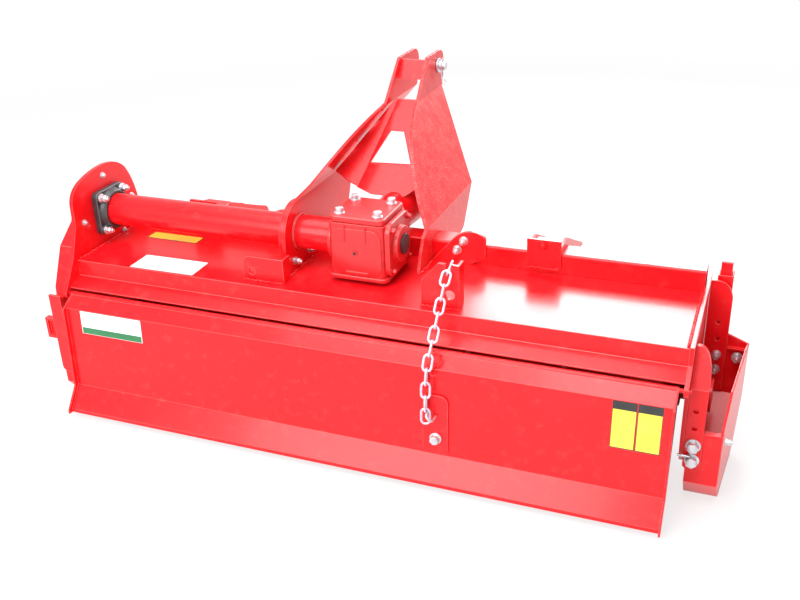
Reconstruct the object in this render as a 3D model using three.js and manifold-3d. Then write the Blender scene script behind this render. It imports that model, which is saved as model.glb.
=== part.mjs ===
// Tractor-mounted rotavator (rotary tiller) with side drive. Millimetres, +X to the machine's
// right, +Y forward to the tractor, +Z up. Lengths along Y start at the deck's rear edge and
// heights start at the ground; the last lines move the origin under the middle of the machine.
import * as THREE from 'three';
import { mergeVertices } from 'three/addons/utils/BufferGeometryUtils.js';
import Module from 'manifold-3d';

const wasm = await Module();
wasm.setup();

// overall sizes
const deckWidth = 1650;
const deckHeight = 420;
const deckDepth = 303;
const deckSheet = 5;
const sidePlate = 10;
const touch = 0.3; // gap between pieces that touch
const runGap = 6; // gap between pieces that move past each other

// hood
const bandHeight = 44;
const ledgeReach = 46;
const ledgeDrop = 18;

// front beam
const beamDepth = 70;
const beamHeight = 80;
const beamRise = 55;
const beamWall = 6;
const apronSheet = 5;
const apronReach = 62;
const apronBend = 60;
const apronDrop = 175;

// rotor
const rotorY = 190;
const rotorRadius = 188;
const rotorGroundGap = 10;
const rotorTube = 76;
const rotorStub = 40;
const bearingPlateRadius = 62;
const bearingDomeRadius = 42;
const flangeCount = 7;
const flangeRadius = 92;
const flangeThickness = 10;
const tinesPerFlange = 6;
const tineWidth = 40;
const tineThickness = 8;
const tineFoot = 70;

// drive
const tubeY = 163;
const tubeRise = 96; // tube axis above the deck
const tubeDiameter = 88.9;
const tubeWall = 5;
const bearingFlange = 125;
const bearingFlangeThickness = 18;
const boxLeft = -92;
const boxWidth = 154;
const boxRear = 92;
const boxDepth = 154;
const boxFloorGap = 11;
const boxHeight = 152;
const boxCorner = 14;
const lidInset = 3;
const lidThickness = 16;
const sideCoverHalf = 72;
const sideCoverCorner = 28;
const sideCoverThickness = 14;
const sideBossRadius = 48;
const sideBossLength = 11;
const sealRadius = 27;
const sealLength = 5;
const inputBossRadius = 48;
const inputBossLength = 34;
const inputShaftRadius = 17.45;
const inputShaftLength = 76;
const inputShaftBore = 18.2;
const inputShaftSeat = 30;
const guardRadius = 50; // at the gearbox
const guardMouth = 74; // radius at the open end
const guardLength = 290;
const guardWall = 3;
const caseThickness = 60;
const caseCoverThickness = 6;
const caseCoverInset = 22;

// mast
const mastX = -84;
const mastPlate = 8;
const legBoxGap = 53; // from the gearbox housing to the right leg's outer face
const leftFoot = -216; // outer face of the left leg's foot
const earSpread = 88; // outside to outside at the top
const lowerFold = 99; // height of the right leg's lower fold above the deck
const leftFold = 186; // height of the left leg's lower fold above the deck
const upperFold = 335;
const mastTop = 444;
const legRearFoot = 197;
const legRearFold = 264;
const earRear = 629;
const earRearTop = 720;
const legFrontFoot = 560;
const legFrontFold = 656;
const leftFootRear = 62;
const leftFootRadius = 90;
const leftFrontFoot = 440;
const leftFrontFold = 530;
const leftEarRear = 585;
const leftEarRearTop = 700;
const tabSlots = [[400, 219], [502, 284]]; // lowest corner of each slot: Y, height above the deck
const tabSlotWidth = 20;
const tabSlotRun = 52;
const tabSlotRise = 46;
const earFront = 842;
const earFrontTop = 862;
const mastToeDrop = 23;
const topPinDiameter = 25;
const topPinY = 806;
const topPinRise = 402;
const pinClearance = 0.3;
const strapSheet = 8;
const strapTop = 436;
const strapBottom = 388;
const webSheet = 6;
const webRoot = 278; // the web's Y at the right leg's lower fold
const webRun = 1.547; // forward run for each millimetre of rise
const webTop = 335;
const webLow = 146;
const wingGap = 4; // from the wing's edge to the left leg
const wingRise = 45; // the wing's outer corner above the web's lower edge
const wingTurn = 38; // how far that corner is folded rearwards
const collarRadius = 86;
const collarThickness = 12;

// brackets on the deck and the beam
const bracketPlate = 8;
const bracketFlange = 39;
const chainBracketLeft = 181;
const chainBracketRight = 279;
const chainBracketHeight = 117;
const chainBracketY = 27;
const chainBracketCut = 44;
const chainNotchX = 251;
const chainNotchWidth = 16;
const chainNotchDepth = 16;
const stopBracketLeft = -314;
const stopBracketRight = -198;
const stopBracketHeight = 66;
const stopBracketY = 32;
const clampPlate = 10;
const hitchInner = 460; // inner faces from the mast's middle
const hitchGap = 74;
const hitchPlate = 8;
const hitchPinDiameter = 28;
const hitchCheekRise = { right: 20, left: 10 }; // the cheeks' tops above the beam
const hitchPinY = 560;
const hitchPinHeight = 372;

// tailboard
const hingeY = -55;
const hingeHeight = 343.5;
const hingeRodDiameter = 10;
const rollRadius = 7.5;
const earRadius = 14;
const tailSheet = 4;
const tailWidth = 1630;
const tailUpperBend = 319;
const tailLowerBend = 85;
const tailBottom = 28;
const tailLip = 11;
const tailUpperY = -96;
const tailLowerY = -108;
const tailBottomY = -151;
const tailRib = 12;
const tailRibThickness = 5;
const chainPlateLeft = 229;
const chainPlateRight = 293;
const chainPlateTop = 252;
const chainPlateBottom = 94;
const chainPlateThickness = 6;
const chainDiameter = 16;

// right skid, its straps and the stand
const strapInset = 10.7; // from the deck's end to the straps
const strapWidth = 40;
const strapThickness = 8;
const rearStrapY = -10;
const rearStrapTop = 325;
const rearStrapBottom = 108;
const frontStrapY = 350;
const frontStrapWidth = 57;
const frontStrapTop = 434;
const frontStrapBottom = 124;
const skidInset = 16.7;
const skidReachRear = 92.7;
const skidReachFront = 120.7;
const skidSheet = 6;
const skidRearTop = 206;
const skidLedge = 16;
const skidHeel = 67;
const skidHeelY = 55;
const skidToeY = 250;
const skidNose = 112;
const skidFrontTop = 286;
const skidFrontCorner = 264;
const skidRimHeight = 247;
const skidRimReach = 10;
const sleeveSize = 38;
const sleeveWall = 4.4;
const sleeveBottom = 285;
const sleeveTop = 443;
const standSize = 28;
const standTop = 476;
const standBottom = 150;
const standFoot = 56;
const standFootThickness = 6;

// left skid and its straps
const caseRearY = -37;
const leftRearStrapY = -78;
const leftFrontStrapY = 390;
const leftStrapWidth = 38;
const leftSkidWidth = 40;

const deckHalf = deckWidth / 2;
const rightFace = deckHalf + touch;
const leftFace = -rightFace;
const strapX = rightFace + strapInset;
const skidInner = rightFace + skidInset;
const skidOuterRear = rightFace + skidReachRear;
const skidOuterFront = rightFace + skidReachFront;
const beamTop = deckHeight + beamRise;
const beamBottom = beamTop - beamHeight;
const beamFront = deckDepth + beamDepth;
const rotorHeight = rotorRadius + rotorGroundGap;
const tubeHeight = deckHeight + tubeRise;
const boxBottom = deckHeight + boxFloorGap;
const boxMiddle = boxLeft + boxWidth / 2;
const rightFoot = boxLeft + boxWidth + legBoxGap;
const boxFront = boxRear + boxDepth;
const caseOuter = leftFace - sidePlate - touch - caseThickness;

// materials
const paint = (color, roughness, metalness) => (
  new THREE.MeshStandardMaterial({ color, roughness, metalness })
);
const red = paint(0xc81018, 0.38, 0.1);
const darkRed = paint(0xa80c14, 0.42, 0.1);
const castGrey = paint(0x2e3134, 0.6, 0.5);
const steel = paint(0xb9bcc0, 0.35, 0.9);
const rubber = paint(0x151515, 0.8, 0);
const silver = paint(0xd8dadc, 0.4, 0.6);
const bladeSteel = paint(0x8a1c1c, 0.55, 0.4);

// solids
function solid(geometry) {
  const bare = geometry.index ? geometry.toNonIndexed() : geometry.clone();
  bare.deleteAttribute('normal');
  bare.deleteAttribute('uv');
  const merged = mergeVertices(bare, 1e-4);
  const corners = Array.from(merged.index.array);
  const kept = corners.filter((corner, i) => {
    const [a, b, c] = corners.slice(i - i % 3, i - i % 3 + 3);
    return a !== b && b !== c && c !== a;
  });
  return new wasm.Manifold(new wasm.Mesh({
    numProp: 3,
    vertProperties: Float32Array.from(merged.attributes.position.array),
    triVerts: Uint32Array.from(kept),
  }));
}

function geometryOf(body) {
  const mesh = body.getMesh();
  const geometry = new THREE.BufferGeometry();
  geometry.setAttribute('position', new THREE.BufferAttribute(Float32Array.from(mesh.vertProperties), 3));
  geometry.setIndex(new THREE.BufferAttribute(Uint32Array.from(mesh.triVerts), 1));
  geometry.computeVertexNormals();
  return geometry;
}

const axisX = new THREE.Vector3(1, 0, 0);
const axisY = new THREE.Vector3(0, 1, 0);
const axisZ = new THREE.Vector3(0, 0, 1);

function extruded(shape, depth, curveSegments = 12) {
  return new THREE.ExtrudeGeometry(shape, { depth, bevelEnabled: false, curveSegments });
}

function outline(points) {
  return new THREE.Shape(points.map(([u, v]) => new THREE.Vector2(u, v)));
}

// a plate that stands across the machine's width, drawn in (Y, Z) and thick along +X
function plateAlongX(shape, x, thickness, curveSegments) {
  const basis = new THREE.Matrix4().makeBasis(axisY, axisZ, axisX);
  return solid(extruded(shape, thickness, curveSegments).applyMatrix4(basis).translate(x, 0, 0));
}

// a plate that faces rearward, drawn in (X, Z), its rear face at y and thick along +Y
function plateAlongY(shape, y, thickness, curveSegments) {
  const basis = new THREE.Matrix4().makeBasis(axisX, axisZ, axisY.clone().negate());
  return solid(extruded(shape, thickness, curveSegments).applyMatrix4(basis).translate(0, y + thickness, 0));
}

// a flat plate drawn in (X, Y), its lower face at z
function plateAlongZ(shape, z, thickness, curveSegments) {
  return solid(extruded(shape, thickness, curveSegments).translate(0, 0, z));
}

function block(x0, x1, y0, y1, z0, z1) {
  const geometry = new THREE.BoxGeometry(x1 - x0, y1 - y0, z1 - z0);
  return solid(geometry.translate((x0 + x1) / 2, (y0 + y1) / 2, (z0 + z1) / 2));
}

function rodX(radius, x0, x1, y, z, segments = 32) {
  const geometry = new THREE.CylinderGeometry(radius, radius, x1 - x0, segments);
  return solid(geometry.rotateZ(-Math.PI / 2).translate((x0 + x1) / 2, y, z));
}

function rodY(radius, y0, y1, x, z, segments = 32) {
  const geometry = new THREE.CylinderGeometry(radius, radius, y1 - y0, segments);
  return solid(geometry.translate(x, (y0 + y1) / 2, z));
}

// a bent sheet: the line of its outer face in (Y, Z), with the metal on the line's right-hand side
function bentSheet(points, thickness) {
  const line = points.map(([u, v]) => new THREE.Vector2(u, v));
  const inner = line.map((point, i) => {
    const before = i > 0 ? point.clone().sub(line[i - 1]).normalize() : null;
    const after = i < line.length - 1 ? line[i + 1].clone().sub(point).normalize() : null;
    const from = before ?? after;
    const to = after ?? before;
    const side = new THREE.Vector2(from.y + to.y, -(from.x + to.x)).normalize();
    const lean = side.dot(new THREE.Vector2(to.y, -to.x));
    return point.clone().addScaledVector(side, thickness / lean);
  });
  return new THREE.Shape([...line, ...inner.reverse()]);
}

// rectangle with rounded corners, four steps to a corner
function slab(u0, u1, v0, v1, corner = 0) {
  if (corner === 0) return outline([[u0, v0], [u1, v0], [u1, v1], [u0, v1]]);
  const points = [];
  for (let quarter = 0; quarter < 4; quarter += 1) {
    const u = quarter === 0 || quarter === 3 ? u1 - corner : u0 + corner;
    const v = quarter < 2 ? v1 - corner : v0 + corner;
    for (let step = 0; step <= 4; step += 1) {
      const angle = (quarter + step / 4) * Math.PI / 2;
      points.push([u + corner * Math.cos(angle), v + corner * Math.sin(angle)]);
    }
  }
  return outline(points);
}

const machine = new THREE.Group();

function piece(name, body, material) {
  const mesh = new THREE.Mesh(body.isBufferGeometry ? body : geometryOf(body), material);
  mesh.name = name;
  machine.add(mesh);
  return mesh;
}

// hood: ledge, vertical band and flat deck in one bent sheet
function hood() {
  const ledgeTip = [-2 - ledgeReach, deckHeight - bandHeight - ledgeDrop];
  const profile = bentSheet([ledgeTip, [-2, deckHeight - bandHeight], [0, deckHeight],
    [deckDepth - touch, deckHeight]], deckSheet);
  piece('hood_deck', plateAlongX(profile, -deckHalf, deckWidth), red);
}

function frontBeam() {
  const outside = plateAlongX(slab(deckDepth, beamFront, beamBottom, beamTop, 6), -deckHalf, deckWidth);
  const inside = block(-deckHalf - 1, deckHalf + 1, deckDepth + beamWall, beamFront - beamWall,
    beamBottom + beamWall, beamTop - beamWall);
  piece('front_beam', outside.subtract(inside), red);
}

// bent apron that closes the hood in front of the rotor, below the beam
function frontApron() {
  const top = beamBottom - touch;
  const root = beamFront - 8;
  const profile = bentSheet([[deckDepth + 14, top], [root, top], [root + apronReach * 0.7, top - apronBend],
    [root + apronReach, top - apronDrop]], apronSheet);
  piece('front_apron', plateAlongX(profile, -deckHalf, deckWidth), red);
}

// the rear lobe of a side plate, round the tailboard's hinge rod
function sideEar(shape) {
  shape.absarc(hingeY, hingeHeight, earRadius, Math.PI * 0.8, Math.PI * 1.5);
  shape.lineTo(-14, hingeHeight - earRadius - 12);
}

function rodHoles() {
  const reach = rightFace + sidePlate + 1;
  return rodX(hingeRodDiameter / 2 + touch, -reach, reach, hingeY, hingeHeight);
}

function rightPlate() {
  const shape = new THREE.Shape();
  shape.moveTo(-14, 200);
  shape.quadraticCurveTo(-10, 110, 70, 84);
  shape.lineTo(300, 84);
  shape.quadraticCurveTo(380, 110, 432, 205);
  shape.lineTo(432, 392);
  shape.lineTo(402, deckHeight + 8);
  shape.lineTo(-10, deckHeight + 8);
  shape.lineTo(-18, deckHeight - bandHeight + 10);
  sideEar(shape);
  const bore = rodX(rotorStub / 2 + 8, rightFace - 1, rightFace + sidePlate + 1, rotorY, rotorHeight);
  piece('right_side_plate', plateAlongX(shape, rightFace, sidePlate).subtract(bore).subtract(rodHoles()), red);
}

// the left plate rises in a rounded lobe that carries the drive tube's bearing
function lobe(shape) {
  shape.lineTo(410, 430);
  shape.lineTo(310, 500);
  shape.quadraticCurveTo(300, 560, 270, 604);
  shape.quadraticCurveTo(238, 640, 176, 642);
  shape.quadraticCurveTo(120, 642, 72, 626);
  shape.quadraticCurveTo(18, 608, 20, 560);
  shape.lineTo(18, 508);
}

function leftPlate() {
  const shape = new THREE.Shape();
  shape.moveTo(-14, 200);
  shape.quadraticCurveTo(-10, 110, 70, 84);
  shape.lineTo(300, 84);
  shape.quadraticCurveTo(380, 110, 432, 205);
  shape.lineTo(432, 392);
  lobe(shape);
  shape.lineTo(-18, 424);
  sideEar(shape);
  const bore = rodX(rotorStub / 2 + 8, leftFace - sidePlate - 1, leftFace + 1, rotorY, rotorHeight);
  const body = plateAlongX(shape, leftFace - sidePlate, sidePlate);
  piece('left_side_plate', body.subtract(bore).subtract(rodHoles()), red);
}

// half of the gear case's outline, as seen from its side, made smaller all round by an inset
function caseOutline(inset) {
  const shape = new THREE.Shape();
  shape.moveTo(caseRearY + inset, 245);
  shape.quadraticCurveTo(caseRearY + 22 + inset, 92 + inset, 110, 72 + inset);
  shape.lineTo(262, 72 + inset);
  shape.quadraticCurveTo(350 - inset, 90 + inset, 346 - inset, 210);
  shape.lineTo(310 - inset, 400);
  shape.lineTo(272 - inset, 500);
  shape.quadraticCurveTo(258 - inset, 566 - inset, 190, 570 - inset);
  shape.quadraticCurveTo(108 + inset, 570 - inset, 84 + inset, 496);
  shape.lineTo(21 + inset, 446);
  shape.lineTo(caseRearY + 8 + inset, 341);
  return shape;
}

// closed gear case on the outside of the left plate, one heavy mass, with a thinner cover
function driveCase() {
  const inner = leftFace - sidePlate - touch;
  piece('drive_case', plateAlongX(caseOutline(0), inner - caseThickness, caseThickness), red);
  const coverX = caseOuter - touch - caseCoverThickness;
  piece('drive_case_cover', plateAlongX(caseOutline(caseCoverInset), coverX, caseCoverThickness), red);
}

function driveTube() {
  const start = leftFace + bearingFlangeThickness + 2 * touch;
  const end = boxLeft - touch;
  const tube = rodX(tubeDiameter / 2, start, end, tubeY, tubeHeight, 48);
  const bore = rodX(tubeDiameter / 2 - tubeWall, start - 1, end + 1, tubeY, tubeHeight, 48);
  piece('drive_tube', tube.subtract(bore), red);
  const half = bearingFlange / 2;
  const flange = slab(tubeY - half, tubeY + half, tubeHeight - half, tubeHeight + half, 14);
  const hub = rodX(tubeDiameter / 2 - tubeWall - touch, start - 1, start + 40, tubeY, tubeHeight, 48);
  const body = plateAlongX(flange, leftFace + touch, bearingFlangeThickness, 6).add(hub);
  piece('tube_bearing_flange', body, castGrey);
}

function gearbox() {
  const x1 = boxLeft + boxWidth;
  const shell = slab(boxLeft, x1, boxRear, boxFront, boxCorner);
  let body = plateAlongZ(shell, boxBottom, boxHeight, 6);
  body = body.subtract(rodX(tubeDiameter / 2 + touch, boxLeft - 1, boxLeft + 6, tubeY, tubeHeight, 48));
  body = body.add(rodX(tubeDiameter / 2 - tubeWall - touch, boxLeft - 30, boxLeft + 8, tubeY, tubeHeight, 48));
  body = body.subtract(rodY(inputShaftBore, boxFront - inputShaftSeat, boxFront + 1, boxMiddle, tubeHeight));
  for (const side of [-1, 1]) {
    const foot = block(boxMiddle + side * 52 - 16, boxMiddle + side * 52 + 16, boxRear + 24, boxFront - 24,
      deckHeight + touch, boxBottom + 1);
    body = body.add(foot);
  }
  piece('gearbox_housing', body, red);
  const lid = slab(boxLeft + lidInset, x1 - lidInset, boxRear + lidInset, boxFront - lidInset, boxCorner);
  piece('gearbox_lid', plateAlongZ(lid, boxBottom + boxHeight + touch, lidThickness, 6), red);
  const coverX = x1 + touch;
  const coverShape = slab(tubeY - sideCoverHalf, tubeY + sideCoverHalf, tubeHeight - sideCoverHalf,
    tubeHeight + sideCoverHalf, sideCoverCorner);
  const cover = plateAlongX(coverShape, coverX, sideCoverThickness);
  const bossX = coverX + sideCoverThickness;
  const boss = rodX(sideBossRadius, bossX - 1, bossX + sideBossLength, tubeY, tubeHeight, 48);
  piece('gearbox_side_cover', cover.add(boss), red);
  const sealX = bossX + sideBossLength + touch;
  piece('gearbox_side_seal', rodX(sealRadius, sealX, sealX + sealLength, tubeY, tubeHeight, 32), rubber);
  const bossY = boxFront + touch;
  const inputBoss = rodY(inputBossRadius, bossY, bossY + inputBossLength, boxMiddle, tubeHeight, 40)
    .subtract(rodY(inputShaftBore, bossY - 1, bossY + inputBossLength + 1, boxMiddle, tubeHeight));
  piece('input_bearing_cap', inputBoss, darkRed);
  const shaftY = boxFront - inputShaftSeat + runGap / 2;
  const shaftEnd = bossY + inputBossLength + inputShaftLength;
  piece('input_shaft', rodY(inputShaftRadius, shaftY, shaftEnd, boxMiddle, tubeHeight), steel);
  const guardY = bossY + inputBossLength + touch;
  const cone = (grow, reach) => solid(new THREE.CylinderGeometry(guardMouth + grow, guardRadius + grow,
    guardLength + 2 * reach, 40).translate(boxMiddle, guardY + guardLength / 2, tubeHeight));
  const throat = rodY(inputShaftBore + runGap, guardY - 1, guardY + guardWall + 1, boxMiddle, tubeHeight);
  const below = block(boxMiddle - 100, boxMiddle + 100, guardY - 1, guardY + guardLength + 1,
    deckHeight - 100, beamTop + runGap);
  const inside = cone(-guardWall, 1).subtract(block(boxMiddle - 100, boxMiddle + 100, guardY - 10,
    guardY + guardWall, tubeHeight - 100, tubeHeight + 100));
  const guard = cone(0, 0).subtract(inside).subtract(throat).subtract(below);
  piece('input_guard', guard, red);
}

// a mast leg's bent strip, seen from behind: upright foot, leaning middle and upright ear
function legStrip(side, foot, fold) {
  const ear = mastX + side * earSpread / 2;
  const line = [[foot, deckHeight - mastToeDrop - 10], [foot, deckHeight + fold], [ear, deckHeight + upperFold],
    [ear, deckHeight + mastTop + 10]];
  if (side > 0) line.reverse();
  return plateAlongY(bentSheet(line, mastPlate), leftFootRear - 60, earFrontTop - leftFootRear + 120);
}

// inner face of a leg's leaning middle at a height
function legInside(side, foot, fold, height) {
  const slope = (Math.abs(foot - mastX) - earSpread / 2) / (upperFold - fold);
  const outer = foot - side * (height - deckHeight - fold) * slope;
  return outer - side * (mastPlate * Math.hypot(1, slope) + 1);
}

// where both legs stand on the deck and bridge the beam
function legSole(profile, rear) {
  profile.moveTo(rear, deckHeight + touch);
  profile.lineTo(deckDepth - touch, deckHeight + touch);
  profile.lineTo(deckDepth - touch, beamTop + touch);
  profile.lineTo(beamFront + touch, beamTop + touch);
  profile.lineTo(beamFront + touch, deckHeight - mastToeDrop);
}

// the ear that holds the top link pin, from its front edge over to its rear edge
function earTop(profile, rearTop) {
  profile.lineTo(earFront, deckHeight + upperFold);
  profile.lineTo(earFrontTop, deckHeight + mastTop - 42);
  profile.quadraticCurveTo(earFrontTop, deckHeight + mastTop, earFrontTop - 42, deckHeight + mastTop);
  profile.lineTo(rearTop, deckHeight + mastTop);
}

function topPinBore() {
  return rodX(topPinDiameter / 2 + pinClearance, mastX - earSpread, mastX + earSpread, topPinY,
    deckHeight + topPinRise);
}

function rightLeg() {
  const profile = new THREE.Shape();
  legSole(profile, legRearFoot);
  profile.lineTo(legFrontFoot - 40, deckHeight - mastToeDrop);
  profile.quadraticCurveTo(legFrontFoot, deckHeight - mastToeDrop, legFrontFoot + 20, deckHeight - 10);
  profile.lineTo(legFrontFold, deckHeight + lowerFold);
  earTop(profile, earRearTop);
  profile.lineTo(earRear, deckHeight + upperFold);
  profile.quadraticCurveTo((legRearFold + earRear) / 2 - 56, deckHeight + (lowerFold + upperFold) / 2 + 52,
    legRearFold, deckHeight + lowerFold);
  profile.lineTo(legRearFoot + 40, deckHeight + 84);
  profile.lineTo(legRearFoot + 15, deckHeight + 42);
  const body = plateAlongX(profile, mastX - earSpread, rightFoot - mastX + 2 * earSpread, 8);
  piece('mast_right_leg', body.intersect(legStrip(1, rightFoot, lowerFold)).subtract(topPinBore()), red);
}

// the left leg's foot is a round-backed plate that the drive tube passes through
function leftLeg() {
  const profile = new THREE.Shape();
  legSole(profile, leftFootRear);
  profile.lineTo(leftFrontFoot, deckHeight - mastToeDrop);
  profile.lineTo(leftFrontFold, deckHeight + leftFold);
  earTop(profile, leftEarRearTop);
  profile.lineTo(leftEarRear, deckHeight + upperFold + 5);
  profile.quadraticCurveTo(400, deckHeight + upperFold - 10, 230, deckHeight + leftFold + 18);
  profile.absarc(tubeY, tubeHeight, leftFootRadius, Math.PI * 0.6, Math.PI);
  let body = plateAlongX(profile, leftFoot - 50, mastX - leftFoot + 100, 8)
    .intersect(legStrip(-1, leftFoot, leftFold)).subtract(topPinBore());
  body = body.subtract(rodX(tubeDiameter / 2 + touch, leftFoot - 20, leftFoot + 20, tubeY, tubeHeight, 48));
  for (const [y, rise] of tabSlots) {
    const slot = outline([[y, deckHeight + rise], [y + tabSlotWidth, deckHeight + rise - 7],
      [y + tabSlotWidth + tabSlotRun, deckHeight + rise + tabSlotRise - 7],
      [y + tabSlotRun, deckHeight + rise + tabSlotRise]]);
    body = body.subtract(plateAlongX(slot, leftFoot - 20, mastX - leftFoot + 20));
  }
  piece('mast_left_leg', body, red);
}

// strap that closes the back of the ears
function mastStrap() {
  const half = earSpread / 2 - mastPlate - touch;
  const slope = (earRearTop - earRear) / (mastTop - upperFold);
  const y = (rise) => earRear + (rise - upperFold) * slope + 4;
  const profile = outline([[y(strapBottom), deckHeight + strapBottom],
    [y(strapBottom) + strapSheet, deckHeight + strapBottom],
    [y(strapTop) + strapSheet, deckHeight + strapTop], [y(strapTop), deckHeight + strapTop]]);
  piece('mast_strap', plateAlongX(profile, mastX - half, 2 * half), red);
}

// a flat plate with one face through these corners in space
function plateThrough(corners, thickness) {
  const u = corners[1].clone().sub(corners[0]).normalize();
  const n = u.clone().cross(corners[2].clone().sub(corners[0])).normalize();
  const v = n.clone().cross(u);
  const flat = corners.map((corner) => {
    const reach = corner.clone().sub(corners[0]);
    return [reach.dot(u), reach.dot(v)];
  });
  const basis = new THREE.Matrix4().makeBasis(u, v, n).setPosition(corners[0]);
  return solid(extruded(outline(flat), thickness).applyMatrix4(basis));
}

// sloping web between the legs: a centre panel with a window, and a wing folded towards the left leg
function mastWeb() {
  const webY = (height) => webRoot + (height - deckHeight - lowerFold) * webRun;
  const top = deckHeight + webTop;
  const low = deckHeight + webLow;
  const wingLow = low + wingRise;
  const foldTop = new THREE.Vector3(mastX - 26, webY(top), top);
  const foldLow = new THREE.Vector3(mastX - 46, webY(low + 11), low + 11);
  const right = (height) => legInside(1, rightFoot, lowerFold, height);
  const face = outline([[foldLow.x, foldLow.z], [mastX + 4, low], [mastX + 94, low], [mastX + 106, low + 6],
    [mastX + 130, low + 22], [right(low + 22), low + 22], [right(top), top], [foldTop.x, top]]);
  face.holes.push(outline([[mastX - 34, low + 58], [mastX + 86, low + 61], [mastX + 31, low + 124],
    [mastX - 9, low + 124]]));
  const across = bentSheet([[webY(low - 30), low - 30], [webY(top + 30), top + 30]], webSheet);
  const centre = plateAlongX(across, mastX - 300, 600).intersect(plateAlongY(face, 0, 1000));
  const wingInside = (height) => legInside(-1, leftFoot, leftFold, height) + wingGap;
  const corner = new THREE.Vector3(wingInside(wingLow), webY(wingLow) - wingTurn, wingLow);
  const normal = foldTop.clone().sub(foldLow).cross(corner.clone().sub(foldLow)).normalize();
  const onWing = (x, z) => {
    const y = foldLow.y - (normal.x * (x - foldLow.x) + normal.z * (z - foldLow.z)) / normal.y;
    return new THREE.Vector3(x, y, z);
  };
  const lap = webSheet * 0.6;
  const wing = plateThrough([onWing(foldTop.x + lap, top), onWing(wingInside(top), top), corner,
    onWing(foldLow.x - 24, low + 22), onWing(foldLow.x + lap, foldLow.z)], webSheet);
  const guardRoom = solid(new THREE.CylinderGeometry(guardMouth + 2, guardRadius + 2, guardLength, 40)
    .translate(boxMiddle, boxFront + inputBossLength + 2 * touch + guardLength / 2, tubeHeight));
  piece('mast_web', centre.add(wing).subtract(guardRoom), red);
}

function topLinkPin() {
  const x0 = mastX - earSpread / 2 - 14;
  const x1 = mastX + earSpread / 2 + 26;
  const height = deckHeight + topPinRise;
  const head = rodX(topPinDiameter / 2 + 7, x0 - 8, x0 + 1, topPinY, height);
  const earFace = mastX + earSpread / 2;
  const washer = rodX(topPinDiameter / 2 + 9, earFace + touch, earFace + 6, topPinY, height);
  piece('top_link_pin', rodX(topPinDiameter / 2, x0, x1, topPinY, height).add(head).add(washer), steel);
}

// flange ring on the drive tube, beside the left leg's foot
function tubeCollar() {
  const x1 = leftFoot - touch;
  const ring = rodX(collarRadius, x1 - collarThickness, x1, tubeY, tubeHeight, 48)
    .subtract(rodX(tubeDiameter / 2 + touch, x1 - collarThickness - 1, x1 + 1, tubeY, tubeHeight, 48));
  piece('tube_collar', ring, red);
}

// plates on the beam's rear face that tie the mast's feet to it
function mastClamp(name, side, foot) {
  const root = foot + side * touch;
  const x = (reach) => root + side * reach;
  const points = [[x(2), deckHeight + touch], [x(64), deckHeight + 72]];
  const shape = new THREE.Shape();
  shape.moveTo(...points[0]);
  shape.lineTo(...points[1]);
  shape.quadraticCurveTo(x(108), deckHeight + 112, x(150), deckHeight + 78);
  shape.lineTo(x(150), deckHeight + 22);
  shape.lineTo(x(110), deckHeight + touch);
  piece(name, plateAlongY(shape, deckDepth - touch - clampPlate, clampPlate, 8), red);
}

function chainBracket() {
  const top = deckHeight + chainBracketHeight;
  const shape = new THREE.Shape();
  shape.moveTo(chainBracketLeft, deckHeight + touch);
  shape.lineTo(chainBracketRight, deckHeight + touch);
  shape.lineTo(chainBracketRight, top - 2);
  shape.lineTo(chainNotchX + chainNotchWidth / 2, top);
  shape.lineTo(chainNotchX + chainNotchWidth / 2, top - chainNotchDepth);
  shape.lineTo(chainNotchX - chainNotchWidth / 2, top - chainNotchDepth);
  shape.lineTo(chainNotchX - chainNotchWidth / 2, top);
  shape.lineTo(chainBracketLeft + chainBracketCut, top);
  shape.lineTo(chainBracketLeft, top - chainBracketCut - 8);
  const hole = new THREE.Path();
  hole.absarc(chainBracketLeft + 74, deckHeight + 36, 13, 0, Math.PI * 2, true);
  shape.holes.push(hole);
  const flange = block(chainBracketRight - bracketPlate, chainBracketRight, chainBracketY + 1,
    chainBracketY + bracketFlange, deckHeight + touch, top - 2);
  piece('right_chain_bracket', plateAlongY(shape, chainBracketY, bracketPlate, 8).add(flange), red);
}

function leftBracket() {
  const top = deckHeight + stopBracketHeight;
  const shape = new THREE.Shape();
  shape.moveTo(stopBracketLeft, deckHeight + touch);
  shape.lineTo(stopBracketRight, deckHeight + touch);
  shape.lineTo(stopBracketRight, top);
  shape.lineTo(stopBracketLeft + 22, top);
  shape.quadraticCurveTo(stopBracketLeft, top, stopBracketLeft, top - 22);
  const hole = new THREE.Path();
  hole.absarc(stopBracketLeft + 24, deckHeight + 26, 11, 0, Math.PI * 2, true);
  shape.holes.push(hole);
  const flange = block(stopBracketRight - bracketPlate, stopBracketRight, stopBracketY + 1,
    stopBracketY + bracketFlange, deckHeight + touch, top);
  piece('left_chain_bracket', plateAlongY(shape, stopBracketY, bracketPlate, 8).add(flange), red);
}

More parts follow.
